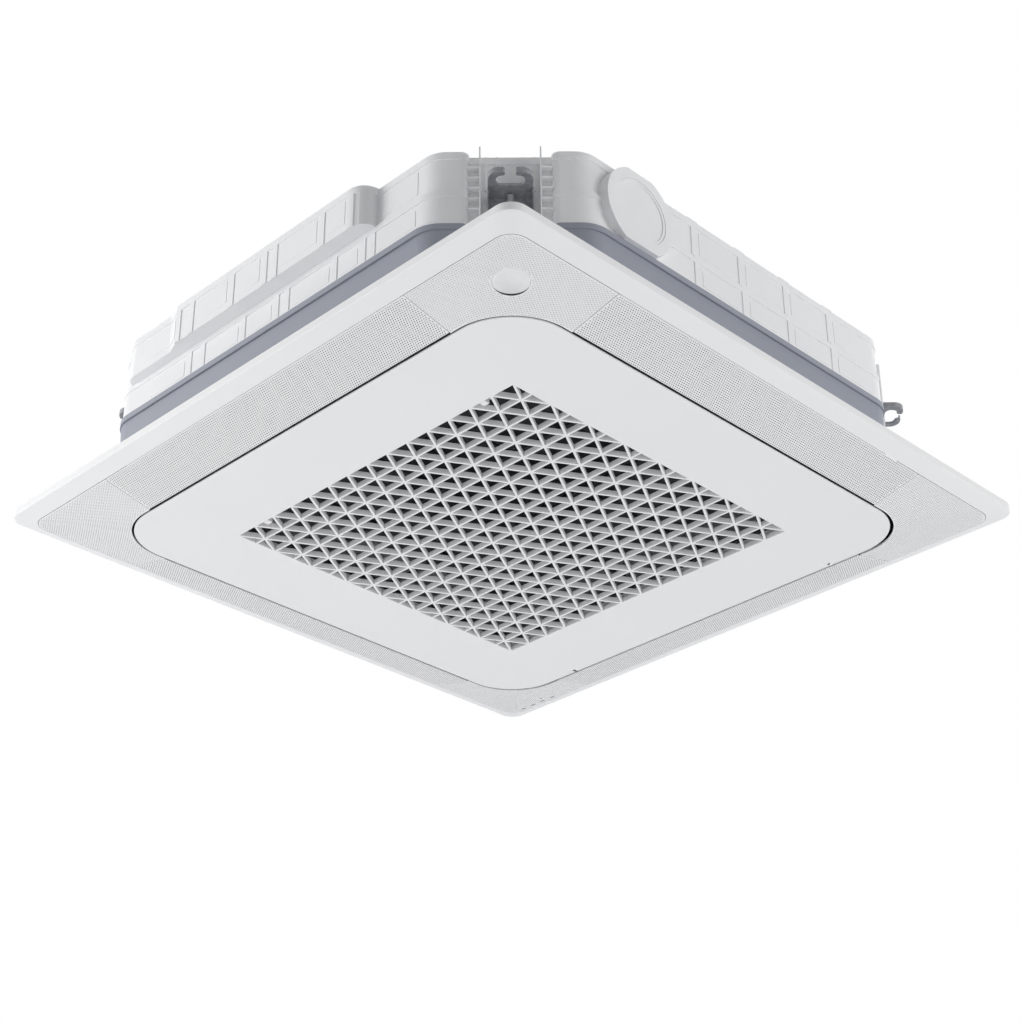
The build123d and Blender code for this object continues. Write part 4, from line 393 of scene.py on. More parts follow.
def sharpen(
    shape: Shape, angle: float = 28.0, broad: float = 2000.0, level: float = 0.999999
) -> None:
    """Shades a mesh softly over its curves and crisply at arrises and where a broad flat ends.

    Args:
        shape: The mesh in metres.
        angle: Angle between faces in degrees from which their edge is an arris.
        broad: Area in mm² from which a face is a broad flat, whose shading stays level.
        level: Cosine of the angle within which a face lies along a broad flat.
    """
    shape.normal_update()
    flats = {tuple(round(v, 4) for v in f.normal) for f in shape.faces if f.calc_area() > broad * MM * MM}
    ways = [Vector(flat) for flat in sorted(flats)]
    home = {}
    for face in shape.faces:
        face.smooth = True
        home[face] = next((i for i, way in enumerate(ways) if face.normal.dot(way) > level), -1)
    for edge in shape.edges:
        near = edge.link_faces
        bend = near[0].normal.angle(near[1].normal, 0.0) if len(near) == 2 else math.pi
        edge.smooth = bend < math.radians(angle) and home[near[0]] == home[near[1]]


def packed_shape(node: str) -> Shape:
    """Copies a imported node's mesh in metres and makes corners that lie together one.

    Args:
        node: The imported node's name.

    Returns:
        The copy.
    """
    shape = bmesh.new()
    shape.from_mesh(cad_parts[node].data)
    bmesh.ops.remove_doubles(shape, verts=shape.verts, dist=WELD)
    return shape


def add_walls(shape: Shape, first: list[Vert], second: list[Vert]) -> None:
    """Adds the faces between two rings of vertices."""
    for a, b, c, d in zip(first, first[1:] + first[:1], second[1:] + second[:1], second):
        shape.faces.new([a, b, c, d])


def add_object(name: str, data: bpy.types.ID) -> bpy.types.Object:
    """Puts a mesh, a light or a camera in the scene.

    Args:
        name: Name of the object.
        data: Its mesh, light or camera.

    Returns:
        The object.
    """
    made = bpy.data.objects.new(name, data)
    bpy.context.scene.collection.objects.link(made)
    return made


def finish_piece(
    name: str,
    shape: Shape,
    body: str,
    slot: Slot,
    replaced: tuple[str, ...] = (),
    extra: tuple[Finish, ...] = (),
) -> None:
    """Makes a built mesh into a piece that rides on a body.

    Args:
        name: The piece's name.
        shape: Its mesh in metres, freed here.
        body: The body that it rides on.
        slot: The material slot that its main finish comes from.
        replaced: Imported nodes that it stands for.
        extra: Further finishes, for faces with material numbers from 1 up.
    """
    sharpen(shape)
    data = bpy.data.meshes.new(name)
    shape.to_mesh(data)
    shape.free()
    data.materials.append(slot.value.material())
    for finish in extra:
        data.materials.append(finish.material())
    piece = add_object(name, data)
    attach(piece, body)
    if replaced:
        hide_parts(*replaced)
    LOG.info("%s is built with %d faces and rides on %s", name, len(data.polygons), body)


def turned(loop: Loop, degrees: float) -> Loop:
    """Turns points about the middle of the unit.

    Args:
        loop: Points in plan.
        degrees: Angle, anticlockwise from above.

    Returns:
        The turned points.
    """
    c, s = math.cos(math.radians(degrees)), math.sin(math.radians(degrees))
    return [(c * x - s * y, s * x + c * y) for x, y in loop]


class Side(Enum):
    """The four sides of the panel, each with its angle from the front."""

    front = 0.0
    right = 90.0
    rear = 180.0
    left = 270.0


class Corner(Enum):
    """The four corners of the panel, each with its angle from the near one."""

    near = 0.0
    right = 90.0
    far = 180.0
    left = 270.0


class Zone(IntEnum):
    """Material numbers of the faces of a perforated piece."""

    skin = 0
    pit_wall = 1
    pit_floor = 2
    seam = 3


# ---- the panel's perforated pieces
@dataclass
class SlopedSkin:
    """The shallow pyramid that louvres and corner covers lie in, in mm."""

    low_half: float = 377.0  # half its square at the grille
    low_round: float = 80.0  # round of that square's corners
    high_half: float = 452.4  # half its square at the rim
    high_round: float = 24.4  # round of that square's corners
    rise: float = 17.4  # height of the second over the first

    def height(self, x: float, y: float) -> float:
        """Level of the pyramid's lower face over a point in plan.

        Args:
            x: Distance to the right of the middle.
            y: Distance behind the middle.

        Returns:
            The level in mm.
        """
        x, y = abs(x), abs(y)
        share = (max(x, y) - self.low_half) / (self.high_half - self.low_half)
        low_flat = self.low_half - self.low_round
        grow = self.high_half - self.high_round - low_flat
        turn = self.high_round - self.low_round
        if min(x, y) > low_flat + grow * share:
            a = 2 * grow * grow - turn * turn
            b = -2 * grow * (x - low_flat + y - low_flat) - 2 * self.low_round * turn
            c = (x - low_flat) ** 2 + (y - low_flat) ** 2 - self.low_round**2
            share = (-b - math.sqrt(max(b * b - 4 * a * c, 0.0))) / (2 * a)
        return share * self.rise


@dataclass
class Perforation:
    """A staggered field of small round pits moulded into a piece's lower face, in mm."""

    shape: Shape  # the piece's mesh in metres
    skin: SlopedSkin  # the pyramid that its lower face lies in
    depth: float  # depth of a pit
    pitch: float = 3.45  # spacing in a row
    row: float = 2.99  # spacing of the rows
    bore: float = 1.7  # width of a pit
    sides: int = 6  # corners of a pit's outline
    off_skin: float = 0.7  # distance from the pyramid within which a face is the piece's lower one
    close: float = 1e-5  # distance within which corners of the triangulation are one
    least: float = 1e-14  # twice the area in m² under which a triangle is left out as a sliver
    upright: float = 0.5  # upright part of the normal under which a face is a wall
    inward: float = -0.7  # cosine to the outward direction under which a wall looks towards the grille

    def places(self, low: Point, high: Point) -> Loop:
        """Centres of the pits between two corners in plan, rows along X.

        Args:
            low: Left front corner.
            high: Right rear corner.

        Returns:
            The centres.
        """
        centres = []
        for line in range(int((high[1] - low[1]) / self.row) + 1):
            y = high[1] - line * self.row
            start = low[0] + (self.pitch / 2 if line % 2 else 0.0)
            centres += [(start + i * self.pitch, y) for i in range(int((high[0] - start) / self.pitch) + 1)]
        return centres

    def punch(self, centres: Loop) -> None:
        """Swaps the piece's plain lower face for one with pits.

        Args:
            centres: Centres of the pits.
        """
        loops = [self.anticlockwise(ring) for ring in self.trace(self.open_skin())]
        points, faces, owners = [], [], []
        for loop in loops:
            faces.append(list(range(len(points), len(points) + len(loop))))
            points += [Vector((v.co.x / MM, v.co.y / MM)) for v in loop]
            owners += loop
        outer = max(range(len(faces)), key=lambda i: self.spread([points[k] for k in faces[i]]))
        for centre in centres:
            faces.append(list(range(len(points), len(points) + self.sides)))
            points += self.ring(centre)
        owners += [self.on_skin(point) for point in points[len(owners) :]]
        out, _, sheet, sources, _, homes = delaunay_2d_cdt(points, [], faces, 1, self.close, True)
        made = []
        for source, point in zip(sources, out):
            made.append(owners[source[0]] if source else self.on_skin(point))
        for triangle, home in zip(sheet, homes):
            if list(home) == [outer]:
                self.cover([made[k] for k in triangle])
        for ring in faces[len(loops) :]:
            self.sink([owners[k] for k in ring])
        self.paint_seam_shade()

    def open_skin(self) -> set[bmesh.types.BMEdge]:
        """Takes out the piece's lower face.

        Returns:
            The edges that bounded it.
        """
        lower = []
        for face in self.shape.faces:
            spot = face.calc_center_median() / MM
            off = abs(spot.z - self.skin.height(spot.x, spot.y))
            if face.normal.z < -self.upright and off < self.off_skin:
                lower.append(face)
        taken = set(lower)
        edges = {edge for face in lower for edge in face.edges}
        rim = {edge for edge in edges if sum(face in taken for face in edge.link_faces) == 1}
        bmesh.ops.delete(self.shape, geom=lower, context="FACES_ONLY")
        return rim

    def ring(self, centre: Point) -> list[Vector]:
        """Draws the outline of a pit in plan.

        Args:
            centre: The centre in mm.

        Returns:
            Its corners in mm, anticlockwise.
        """
        turns = [2 * math.pi * (i + 0.5) / self.sides for i in range(self.sides)]
        x, y = centre
        return [Vector((x + self.bore / 2 * math.cos(a), y + self.bore / 2 * math.sin(a))) for a in turns]

    def cover(self, corners: list[Vert]) -> None:
        """Adds a triangle of the skin, turned downward, unless it is a sliver.

        Args:
            corners: The triangle.
        """
        a, b, c = (corner.co for corner in corners)
        turn = (b - a).cross(c - a).z
        if abs(turn) > self.least:
            self.face(corners if turn < 0 else corners[::-1], Zone.skin)

    def sink(self, top: list[Vert]) -> None:
        """Adds the walls and the floor of one pit.

        Args:
            top: Its outline.
        """
        floor = [self.shape.verts.new(v.co + Vector((0, 0, self.depth * MM))) for v in top]
        for i in range(self.sides):
            j = (i + 1) % self.sides
            self.face([top[i], top[j], floor[j], floor[i]], Zone.pit_wall)
        self.face(floor[::-1], Zone.pit_floor)

    def paint_seam_shade(self) -> None:
        """Gives the upright walls along the piece's seams painted shade, but not those towards the grille.
        """
        self.shape.normal_update()
        for face in self.shape.faces:
            outward = face.calc_center_median().xy.normalized().dot(face.normal.xy)
            upright = abs(face.normal.z) < self.upright
            if face.material_index == Zone.skin and upright and outward > self.inward:
                face.material_index = Zone.seam

    def on_skin(self, point: Vector) -> Vert:
        """Adds a vertex on the skin over a point in plan."""
        level = self.skin.height(point.x, point.y)
        return self.shape.verts.new((point.x * MM, point.y * MM, level * MM))

    def face(self, corners: list[Vert], zone: Zone) -> None:
        """Adds one face of a zone, unless it is there already.

        Args:
            corners: Its corners, anticlockwise seen from outside.
            zone: Its zone.
        """
        try:
            self.shape.faces.new(corners).material_index = zone
        except ValueError:
            LOG.warning("a face was left out because it was there already")

    @staticmethod
    def spread(points: list[Vector]) -> float:
        """Longest reach from an outline's first point, to tell the outer border from openings."""
        return max((point - points[0]).length for point in points)

    @staticmethod
    def anticlockwise(ring: list[Vert]) -> list[Vert]:
        """Turns a ring round if it runs clockwise seen from above."""
        area = sum(a.co.x * b.co.y - b.co.x * a.co.y for a, b in zip(ring, ring[1:] + ring[:1]))
        return ring if area > 0 else ring[::-1]

    @staticmethod
    def trace(rim: set[bmesh.types.BMEdge]) -> list[list[Vert]]:
        """Puts border edges in order.

        Args:
            rim: Edges that bound the face that was taken out.

        Returns:
            Closed rings of vertices.
        """
        left = set(rim)
        rings = []
        while left:
            edge = min(left, key=lambda e: e.index)
            left.discard(edge)
            ring = [edge.verts[0], edge.verts[1]]
            while ring[-1] is not ring[0]:
                following = [e for e in ring[-1].link_edges if e in left]
                if not following:
                    break
                left.discard(following[0])
                ring.append(following[0].other_vert(ring[-1]))
            rings.append(ring[:-1])
        return rings


@dataclass
class Louvres:
    """The four perforated louvre blades round the intake grille, in mm."""

    skin: SlopedSkin  # the pyramid that their lower faces lie in
    inner: float = 381.5  # distance of their inner edge from the middle
    outer: float = 451.8  # distance of their outer edge from the middle
    half: float = 282.7  # half their length
    edge: float = 1.7  # room between their edges and the pits' centres
    depth: float = 1.9  # depth of the pits
    taper: float = 1.0  # what the perforated field's half length loses inward

    def build(self) -> None:
        """Builds a perforated blade on each side."""
        low = (-self.half + self.edge, -self.outer + self.edge)
        high = (self.half - self.edge, -self.inner - self.edge)
        for side in Side:
            name = f"blade_{side.name}"
            pits = Perforation(packed_shape(name), self.skin, self.depth)
            centres = [p for p in pits.places(low, high) if self.covered(p)]
            pits.punch(turned(centres, side.value))
            # Pit walls and floors take a dark painted shade, the seams a near-black painted shade.
            extra = (PIT_PAINTED_SHADE, PIT_PAINTED_SHADE, OPENING_PAINTED_SHADE)
            finish_piece(f"louvre_{side.name}", pits.shape, name, Slot.panel_white, (name,), extra)

    def covered(self, point: Point) -> bool:
        """Tells whether the front blade is perforated at a point; the field narrows a little inward."""
        share = (point[1] + self.outer) / (self.outer - self.inner)
        return abs(point[0]) < self.half - self.edge - self.taper * share


@dataclass
class CornerCovers:
    """The four perforated corner covers, one with a dished cap and one with a receiver display, in mm."""

    skin: SlopedSkin  # the pyramid that their lower faces lie in
    start: float = 283.3  # distance of their seam to the louvre from the middle
    outer: float = 451.8  # half the outer square
    outer_round: float = 23.8  # round of the outer square's corners
    inner: float = 380.0  # half the opening that the grille stands in
    inner_round: float = 83.0  # round of the opening's corners
    edge: float = 1.7  # room between borders and the pits' centres
    depth: float = 0.7  # depth of the dimples
    dish: float = 393.5  # place of the dished cap on both axes
    dish_half: float = 21.5  # half the cap's width
    dish_lip: float = 1.5  # width of the cap's lip
    dish_room: float = 1.6  # room round the cap
    dish_more: float = 6.5  # depth that the dish gains in its middle
    lenses: int = 4  # number of the display's lenses
    lens_y: float = 442.0  # distance of the lenses from the middle, across their row
    lens_x: float = 354.0  # distance of the first lens from the middle, along the row
    lens_pitch: float = 21.0  # spacing of the lenses
    lens_room: Point = (6.6, 3.8)  # half the bare field round a lens, along the row and across it
    eye_drop: float = 14.0  # distance from the row to the sensor eye
    eye_room: float = 4.0  # radius of the bare field round the eye
    swing_room: float = 3.2  # what the opening gains behind, for the grille's swing

    def build(self) -> None:
        """Builds a perforated cover at each corner, and dresses cap, lenses and their board."""
        low = (self.start + self.edge, -self.outer + self.edge)
        high = (self.outer - self.edge, -self.start - self.edge)
        for corner in Corner:
            name = f"corner_cover_{corner.name}"
            pits = Perforation(packed_shape(name), self.skin, self.depth)
            centres = [p for p in pits.places(low, high) if self.covered(p, corner)]
            pits.punch(turned(centres, corner.value))
            # Dimple walls take a light painted shade, their floors the panel's white, the seams a
            # near-black painted shade.
            extra = (DIMPLE_PAINTED_SHADE, Slot.panel_white.value, OPENING_PAINTED_SHADE)
            finish_piece(f"perforated_{name}", pits.shape, "unit", Slot.panel_white, (name,), extra)
        self.cap()
        dress(Slot.lens_smoke, "display_lenses")
        dress(Slot.board_green, "display_board")

    def cap(self) -> None:
        """Builds the round cap with its dish drawn deeper, both faces alike."""
        shape = packed_shape("sensor_cap")
        for corner in shape.verts:
            reach = math.hypot(corner.co.x / MM - self.dish, corner.co.y / MM + self.dish)
            share = min(reach / (self.dish_half - self.dish_lip), 1.0)
            corner.co.z += self.dish_more * (1.0 - share**3) * MM
        finish_piece("dished_cap", shape, "unit", Slot.panel_white, ("sensor_cap",))

    def covered(self, point: Point, corner: Corner) -> bool:
        """Tells whether a cover, drawn at the near corner, is perforated at a point.

        Args:
            point: The point in plan, turned to the near corner.
            corner: Which cover it is.

        Returns:
            True where a pit fits clear of borders, cap and lenses.
        """
        x, y = point[0], -point[1]
        flat = self.outer - self.outer_round
        if x > flat and y > flat and math.hypot(x - flat, y - flat) > self.outer_round - self.edge:
            return False
        shift_x = self.swing_room if corner is Corner.right else 0.0
        shift_y = self.swing_room if corner is Corner.far else 0.0
        if self.opened(x, y) or self.opened(x - shift_x, y - shift_y):
            return False
        if corner is Corner.near:
            return math.hypot(x - self.dish, y - self.dish) >= self.dish_half + self.dish_room
        return corner is not Corner.far or not self.displayed(x, y)

    def displayed(self, x: float, y: float) -> bool:
        """Tells whether a point lies at the display's lenses or at the sensor eye.

        Args:
            x: Its place along the lenses in mm.
            y: Its place across them in mm.

        Returns:
            True at a lens or at the eye.
        """
        wide, deep = self.lens_room
        for i in range(self.lenses):
            if abs(x - self.lens_x - i * self.lens_pitch) < wide and abs(y - self.lens_y) < deep:
                return True
        eye = (x - self.lens_x - self.lens_pitch / 2, y - self.lens_y + self.eye_drop)
        return math.hypot(*eye) < self.eye_room

    def opened(self, x: float, y: float) -> bool:
        """Tells whether a point lies in the grille's opening or too near to its border.

        Args:
            x: Its distance from the middle to the side in mm.
            y: Its distance to the front in mm.

        Returns:
            True where no pit fits.
        """
        flat = self.inner - self.inner_round
        if max(x, y) >= self.inner + self.edge:
            return False
        return min(x, y) < flat or math.hypot(x - flat, y - flat) < self.inner_round + self.edge


# ---- frame, grille and filter
@dataclass(frozen=True)
class Mark:
    """One low mark moulded on the rim, in mm."""

    along: float  # place along its side
    out: float  # distance from the unit's middle
    wide: float  # size along its side
    deep: float  # size across the rim
    side: Side


@dataclass
class DecorationFrame:
    """The panel's rim with the index marks moulded beside three louvres, in mm."""

    skin: SlopedSkin  # the pyramid that ends at the frame's seam
    slope: float = 7.6 / 22.6  # rise of the rim's face outward
    proud: float = 0.12  # height of the marks
    sunk: float = 0.3  # depth that they reach into the rim
    bevel: float = 0.25  # width of their bevels
    half: float = 475.0  # half the panel's side
    packed_round: float = 40.0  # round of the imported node's corners
    round: float = 22.0  # round that the corners get here
    wall: float = 2.5  # thickness of the strip round the panel
    inside: float = 0.3  # distance inside the seam from which faces take painted shade
    upward: float = 0.5  # upright part of the normal from which a face stays white
    touch: float = 0.01  # distance within which a vertex still lies in a corner's round

    def build(self) -> None:
        """Builds the frame with its corners drawn tighter and painted shade on its inner faces, dresses the
        motors and builds the marks.
        """
        shape = packed_shape("panel_frame")
        for vertex in shape.verts:
            self.tighten(vertex)
        shape.normal_update()
        seam_round = self.skin.high_round
        flat = self.skin.high_half - seam_round
        # Painted shade: the frame's faces inside its seam, all but those facing up, take a near black.
        for face in shape.faces:
            spot = face.calc_center_median() / MM
            x, y = max(abs(spot.x) - flat, 0.0), max(abs(spot.y) - flat, 0.0)
            if math.hypot(x, y) < seam_round - self.inside and face.normal.z < self.upward:
                face.material_index = 1
        finish_piece("decoration_frame", shape, "unit", Slot.panel_white, ("panel_frame",), (OPENING_PAINTED_SHADE,))
        dress(Slot.motor_white, *[f"blade_motor_{side.name}" for side in Side])
        shape = bmesh.new()
        for mark in self.marks():
            self.mould(shape, mark)
        finish_piece("rim_index_marks", shape, "unit", Slot.panel_white)

    def tighten(self, vertex: Vert) -> None:
        """Moves a vertex in an outer corner out, fully at the strip and not at all at the seam.

        Args:
            vertex: A vertex of the frame.
        """
        x, y = vertex.co.x / MM, vertex.co.y / MM
        flat = self.half - self.packed_round
        a, b = abs(x) - flat, abs(y) - flat
        reach = math.hypot(a, b)
        seam = self.skin.high_half - flat
        share = min((reach - seam) / (self.packed_round - self.wall - seam), 1.0)
        if min(a, b) < -self.touch or share <= 0.0:
            return
        grow = self.packed_round - self.round
        drawn = (reach - grow) / reach
        vertex.co.x = math.copysign(flat + a + share * (grow + a * drawn - a), x) * MM
        vertex.co.y = math.copysign(flat + b + share * (grow + b * drawn - b), y) * MM

    @staticmethod
    def marks() -> list[Mark]:
        """Lists the marks.

        Returns:
            Two bars at the front louvre, three dots at the right one and a block at the rear one.
        """
        bars = [Mark(along, 464.7, 0.9, 7.0, Side.front) for along in (1.6, 6.4)]
        dots = [Mark(along, 470.0, 2.4, 1.6, Side.right) for along in (-15.0, -6.5, 2.0)]
        return [*bars, *dots, Mark(4.0, 464.7, 4.0, 2.0, Side.rear)]

    def mould(self, shape: Shape, mark: Mark) -> None:
        """Adds one mark, a bevelled bar on the rim's sloping face.

        Args:
            shape: The mesh that it is added to.
            mark: Its place and size.
        """
        rings = []
        for drop, shrink in ((-self.sunk, 0.0), (self.proud, self.bevel)):
            corners = []
            for a, b in ((-1, -1), (1, -1), (1, 1), (-1, 1)):
                x = mark.along + a * (mark.wide / 2 - shrink)
                d = mark.out + b * (mark.deep / 2 - shrink)
                z = self.skin.rise + (d - self.skin.high_half) * self.slope - drop
                (px, py), = turned([(x, -d)], mark.side.value)
                corners.append(shape.verts.new((px * MM, py * MM, z * MM)))
            rings.append(corners)
        shape.faces.new(rings[1][::-1])
        add_walls(shape, rings[1], rings[0])
        bmesh.ops.recalc_face_normals(shape, faces=shape.faces)


@dataclass
class IntakeGrille:
    """The hinged intake grille with its latches, and the filter that lies on its back, in mm."""

    skin: SlopedSkin  # the pyramid that starts at the grille's outline
    lit: float = 2.0  # level from which its border takes painted shade
    border: float = 0.8  # distance inside its outline where the border's faces are
    upright: float = 0.3  # upright part of the normal under which a face there is the border's
    rib_top: float = 7.2  # level that the lattice's ribs reach up to
    window_x: float = 518.0  # length of the lattice's window along X
    window_y: float = 512.7  # length of the window along Y
    net_z: float = 17.9  # level of the filter's net
    strand: float = 0.55  # thickness of a strand
    pitch: float = 2.6  # spacing of the strands
    pull: float = 0.998  # share of the spacing that is kept, so that all strands fit the window

    def build(self) -> None:
        """Builds the grille with shallow ribs and painted shade on its upright border along the slot,
        dresses the latches, builds the net.
        """
        shape = packed_shape("intake_grille")
        for corner in shape.verts:
            if abs(corner.co.x) < self.window_x / 2 * MM and abs(corner.co.y) < self.window_y / 2 * MM:
                corner.co.z = min(corner.co.z, self.rib_top * MM)
        wall = [face for face in shape.faces if self.outer(face)]
        edges = {edge for face in wall for edge in face.edges}
        corners = {corner for face in wall for corner in face.verts}
        border = [*wall, *edges, *corners]
        level = (0, 0, self.lit * MM)
        bmesh.ops.bisect_plane(shape, geom=border, dist=HAIR, plane_co=level, plane_no=(0, 0, 1))
        shape.normal_update()
        # Painted shade: the border's faces above that level take a near black, where the real border is
        # white.
        for face in shape.faces:
            if self.outer(face) and face.calc_center_median().z > self.lit * MM:
                face.material_index = 1
        finish_piece("grille_panel", shape, "grille", Slot.panel_white, ("intake_grille",), (OPENING_PAINTED_SHADE,))
        dress(Slot.panel_white, "latch_left", "latch_right")
        dress(Slot.steel_bright, "grille_hinge_pins", "latch_springs")
        dress(Slot.mesh_grey, "filter_frame")
        self.net()

    def outer(self, face: bmesh.types.BMFace) -> bool:
        """Tells whether a face is part of the grille's upright border, which bounds the slot.

        Args:
            face: A face of the grille.

        Returns:
            True for a border face.
        """
        spot = face.calc_center_median() / MM
        turn = self.skin.low_round
        x, y = (max(abs(v) - self.skin.low_half + turn, 0.0) for v in (spot.x, spot.y))
        return abs(face.normal.z) < self.upright and math.hypot(x, y) > turn - self.border

    def net(self) -> None:
        """Builds the filter's net from crossed strands, in place of its plain sheet."""
        shape = bmesh.new()
        runs = ((self.window_x, self.window_y), (self.window_y, self.window_x))
        for across, (length, width) in enumerate(runs):
            count = int(width / self.pitch)
            for step in range(count + 1):
                place = (step - count / 2) * self.pitch * self.pull
                level = self.net_z + (across - 0.5) * self.strand / 2
                self.weave(shape, place, length / 2, level, bool(across))
        finish_piece("filter_net", shape, "grille", Slot.mesh_grey, ("filter_mesh",))

    def weave(
        self, shape: Shape, place: float, half: float, level: float, along_y: bool
    ) -> None:
        """Adds one strand, a thin bar on its edge.

        Args:
            shape: The mesh that it is added to.
            place: Its place across its run in mm.
            half: Half its length in mm.
            level: Its middle's level in mm.
            along_y: Whether it runs along Y.
        """
        ends = []
        for end in (-half, half):
            ring = []
            for a, b in ((1, 0), (0, 1), (-1, 0), (0, -1)):
                across = place + a * self.strand / 2
                up = level + b * self.strand / 2
                x, y = (across, end) if along_y else (end, across)
                ring.append(shape.verts.new((x * MM, y * MM, up * MM)))
            ends.append(ring)
        add_walls(shape, *ends)
        shape.faces.new(ends[0][::-1])
        shape.faces.new(ends[1])


# ---- body and works
@dataclass
class Body:
    """Casing, band, roof, hangers and the insulation inside them."""

    def build(self) -> None:
        """Dresses the body's pieces."""
        dress(Slot.casing_milky, "upper_casing", "knockout_disc")
        dress(Slot.band_grey, "side_band", "cable_gland")
        dress(Slot.steel_plate, "top_plate", "pipe_plate")
        dress(Slot.hanger_steel, *[f"hanger_{corner.name}" for corner in Corner])
        dress(Slot.steel_bright, "screws")
        dress(Slot.foam_white, "foam_liner", "drain_pan")
        dress(Slot.foam_black, "foam_seals")


@dataclass
class Works:
    """Fan, coil, pipes, drain and controls inside the body."""

    def build(self) -> None:
        """Dresses the works."""
        dress(Slot.fan_plastic, "fan_hub", "fan_shroud", "bell_mouth")
        dress(Slot.steel_bright, "fan_shaft", "fan_nut", "thermistors")
        dress(Slot.motor_black, "fan_motor")
        dress(Slot.steel_plate, "motor_mount", "control_box", "control_cover")
        dress(Slot.rubber_black, "motor_cushions")
        dress(Slot.aluminium_fin, "coil_fins")
        dress(Slot.copper, "coil_hairpins", "gas_pipe", "liquid_pipe")
        dress(Slot.brass_nut, "flare_unions")
        dress(Slot.pump_white, "drain_nozzle", "drain_pump", "pump_impeller", "float_switch")
        dress(Slot.float_white, "pan_float")
        dress(Slot.board_green, "main_board")
        dress(Slot.motor_white, "terminal_block")


# ---- studio
@dataclass
class SoftBox:
    """One large soft light, its place in metres."""

    name: str
    place: Place
    size: float
    power: float
    target: Place = (0.0, 0.0, 0.1)

    def build(self) -> None:
        """Hangs the light and aims it."""
        data = bpy.data.lights.new(self.name, "AREA")
        data.shape = "DISK"
        data.size = self.size
        data.energy = self.power
        lamp = add_object(self.name, data)
        lamp.location = self.place
        lamp.rotation_mode = "QUATERNION"
        lamp.rotation_quaternion = (Vector(self.target) - Vector(self.place)).to_track_quat("-Z", "Y")
        lamp.visible_camera = False


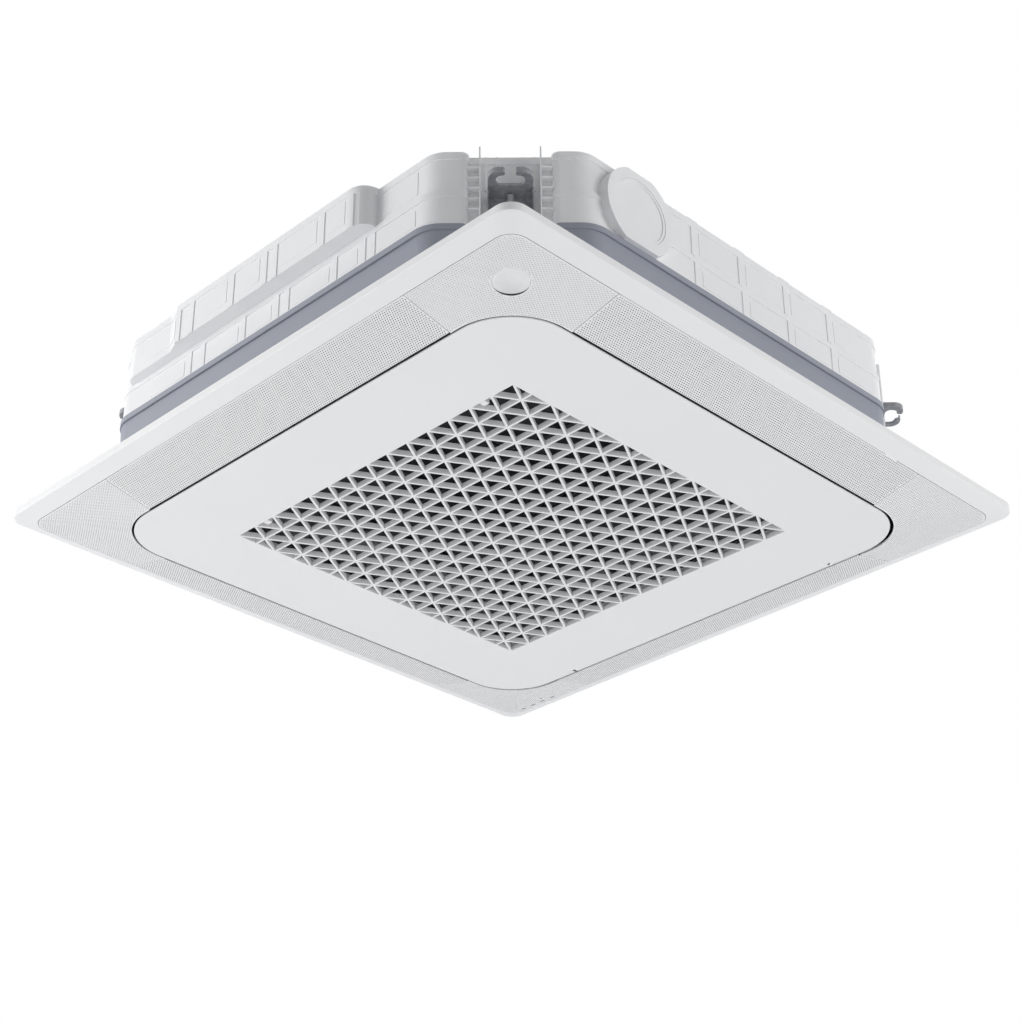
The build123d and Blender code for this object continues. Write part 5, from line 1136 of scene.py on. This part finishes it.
@dataclass
class Studio:
    """White room, pale floor, soft lights and the camera under the unit's near corner."""

    camera_place: Place = (1.6764, -1.6828, -1.2997)  # the camera's place in metres
    azimuth: float = 44.952  # direction from the unit to the camera in degrees, from the front to the right
    elevation: float = -29.342  # its height over the horizon in degrees
    roll: float = 0.378  # the camera's roll in degrees
    lens: float = 72.11  # focal length in mm
    sensor: float = 36.0  # width of the sensor in mm
    clip: tuple[float, float] = (0.01, 200.0)  # nearest and farthest distance that it sees in metres
    floor_z: float = -2.3  # level of the floor in metres
    floor_half: float = 30.0  # half its side in metres
    # directions that the room's light comes from, each with its strength
    walls: tuple[tuple[Place, float], ...] = (
        ((-1.0, 1.0, 0.3), 0.89),
        ((0.0, 0.0, 1.0), 0.56),
    )
    fade: float = 0.95  # cosine to such a direction at which its light is full; it fades to none at 0

    def build(self) -> None:
        """Sets up world, floor, lights and camera."""
        self.world()
        self.floor()
        lights = (
            SoftBox("lamp_left_high", (-2.4, -2.9, 0.5), 1.8, 71.0),
            SoftBox("lamp_left_close", (-0.95, -0.95, -0.6), 0.6, 0.8),
            SoftBox("lamp_left_below", (-0.7, -0.4, -1.6), 1.4, 2.2),
            SoftBox("lamp_right_high", (3.4, 1.2, 0.4), 1.8, 32.0),
            SoftBox("lamp_right_low", (2.1, 2.3, -0.5), 1.6, 12.0),
        )
        for light in lights:
            light.build()
        self.camera()
        bpy.context.scene.view_settings.view_transform = "Standard"

    def world(self) -> None:
        """Lights the room softly from behind and from above, with no light from the camera's side."""
        world = bpy.data.worlds.new("white_room")
        world.use_nodes = True
        tree = world.node_tree
        tree.nodes.clear()
        toward = add_node(tree, "ShaderNodeTexCoord").outputs["Generated"]
        total = add_node(tree, "ShaderNodeValue").outputs[0]
        for direction, strength in self.walls:
            way = {"operation": "DOT_PRODUCT", 1: Vector(direction).normalized()}
            facing = add_node(tree, "ShaderNodeVectorMath", way, {0: toward})
            ramp = {"interpolation_type": "SMOOTHSTEP", "From Max": self.fade, "To Max": strength}
            glow = add_node(tree, "ShaderNodeMapRange", ramp, {"Value": facing.outputs["Value"]})
            terms = {0: total, 1: glow.outputs[0]}
            total = add_node(tree, "ShaderNodeMath", {"operation": "ADD"}, terms).outputs[0]
        room = add_node(tree, "ShaderNodeBackground", {"Color": linear("#fcfdff")}, {"Strength": total})
        back = add_node(tree, "ShaderNodeBackground", {"Color": linear("#ffffff"), "Strength": 1.0})
        seen = add_node(tree, "ShaderNodeLightPath").outputs["Is Camera Ray"]
        parts = {0: seen, 1: room.outputs[0], 2: back.outputs[0]}
        both = add_node(tree, "ShaderNodeMixShader", links=parts)
        add_node(tree, "ShaderNodeOutputWorld", links={"Surface": both.outputs[0]})
        bpy.context.scene.world = world

    def floor(self) -> None:
        """Lays a plain pale floor well below the unit."""
        shape = bmesh.new()
        bmesh.ops.create_grid(shape, x_segments=1, y_segments=1, size=self.floor_half)
        data = bpy.data.meshes.new("floor")
        shape.to_mesh(data)
        shape.free()
        paint = MouldedPlastic("painted_floor", "#f2f2f2", "#eeeeef", 0.7, grain=6.0, drift=900.0)
        data.materials.append(paint.material())
        floor = add_object("floor", data)
        floor.location.z = self.floor_z

    def camera(self) -> None:
        """Places the camera below the near corner, looking up."""
        data = bpy.data.cameras.new("camera")
        data.lens = self.lens
        data.sensor_width = self.sensor
        data.clip_start, data.clip_end = self.clip
        az, el, roll = (math.radians(v) for v in (self.azimuth, self.elevation, self.roll))
        back = Vector((math.sin(az) * math.cos(el), -math.cos(az) * math.cos(el), math.sin(el)))
        across = Vector((0, 0, 1)).cross(back).normalized()
        up = back.cross(across)
        right = math.cos(roll) * across - math.sin(roll) * up
        top = math.sin(roll) * across + math.cos(roll) * up
        camera = add_object("camera", data)
        turn = Matrix((right, top, back)).transposed().to_4x4()
        camera.matrix_world = Matrix.Translation(self.camera_place) @ turn
        bpy.context.scene.camera = camera


def main() -> None:
    """Builds every sub-assembly in order."""
    logging.basicConfig(level=logging.INFO, format="%(message)s")
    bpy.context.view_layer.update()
    skin = SlopedSkin()
    panel = (Louvres(skin), CornerCovers(skin), DecorationFrame(skin), IntakeGrille(skin))
    for assembly in (*panel, Body(), Works(), Studio()):
        assembly.build()
        LOG.info("%s is done", type(assembly).__name__)


if __name__ == "__main__":
    main()
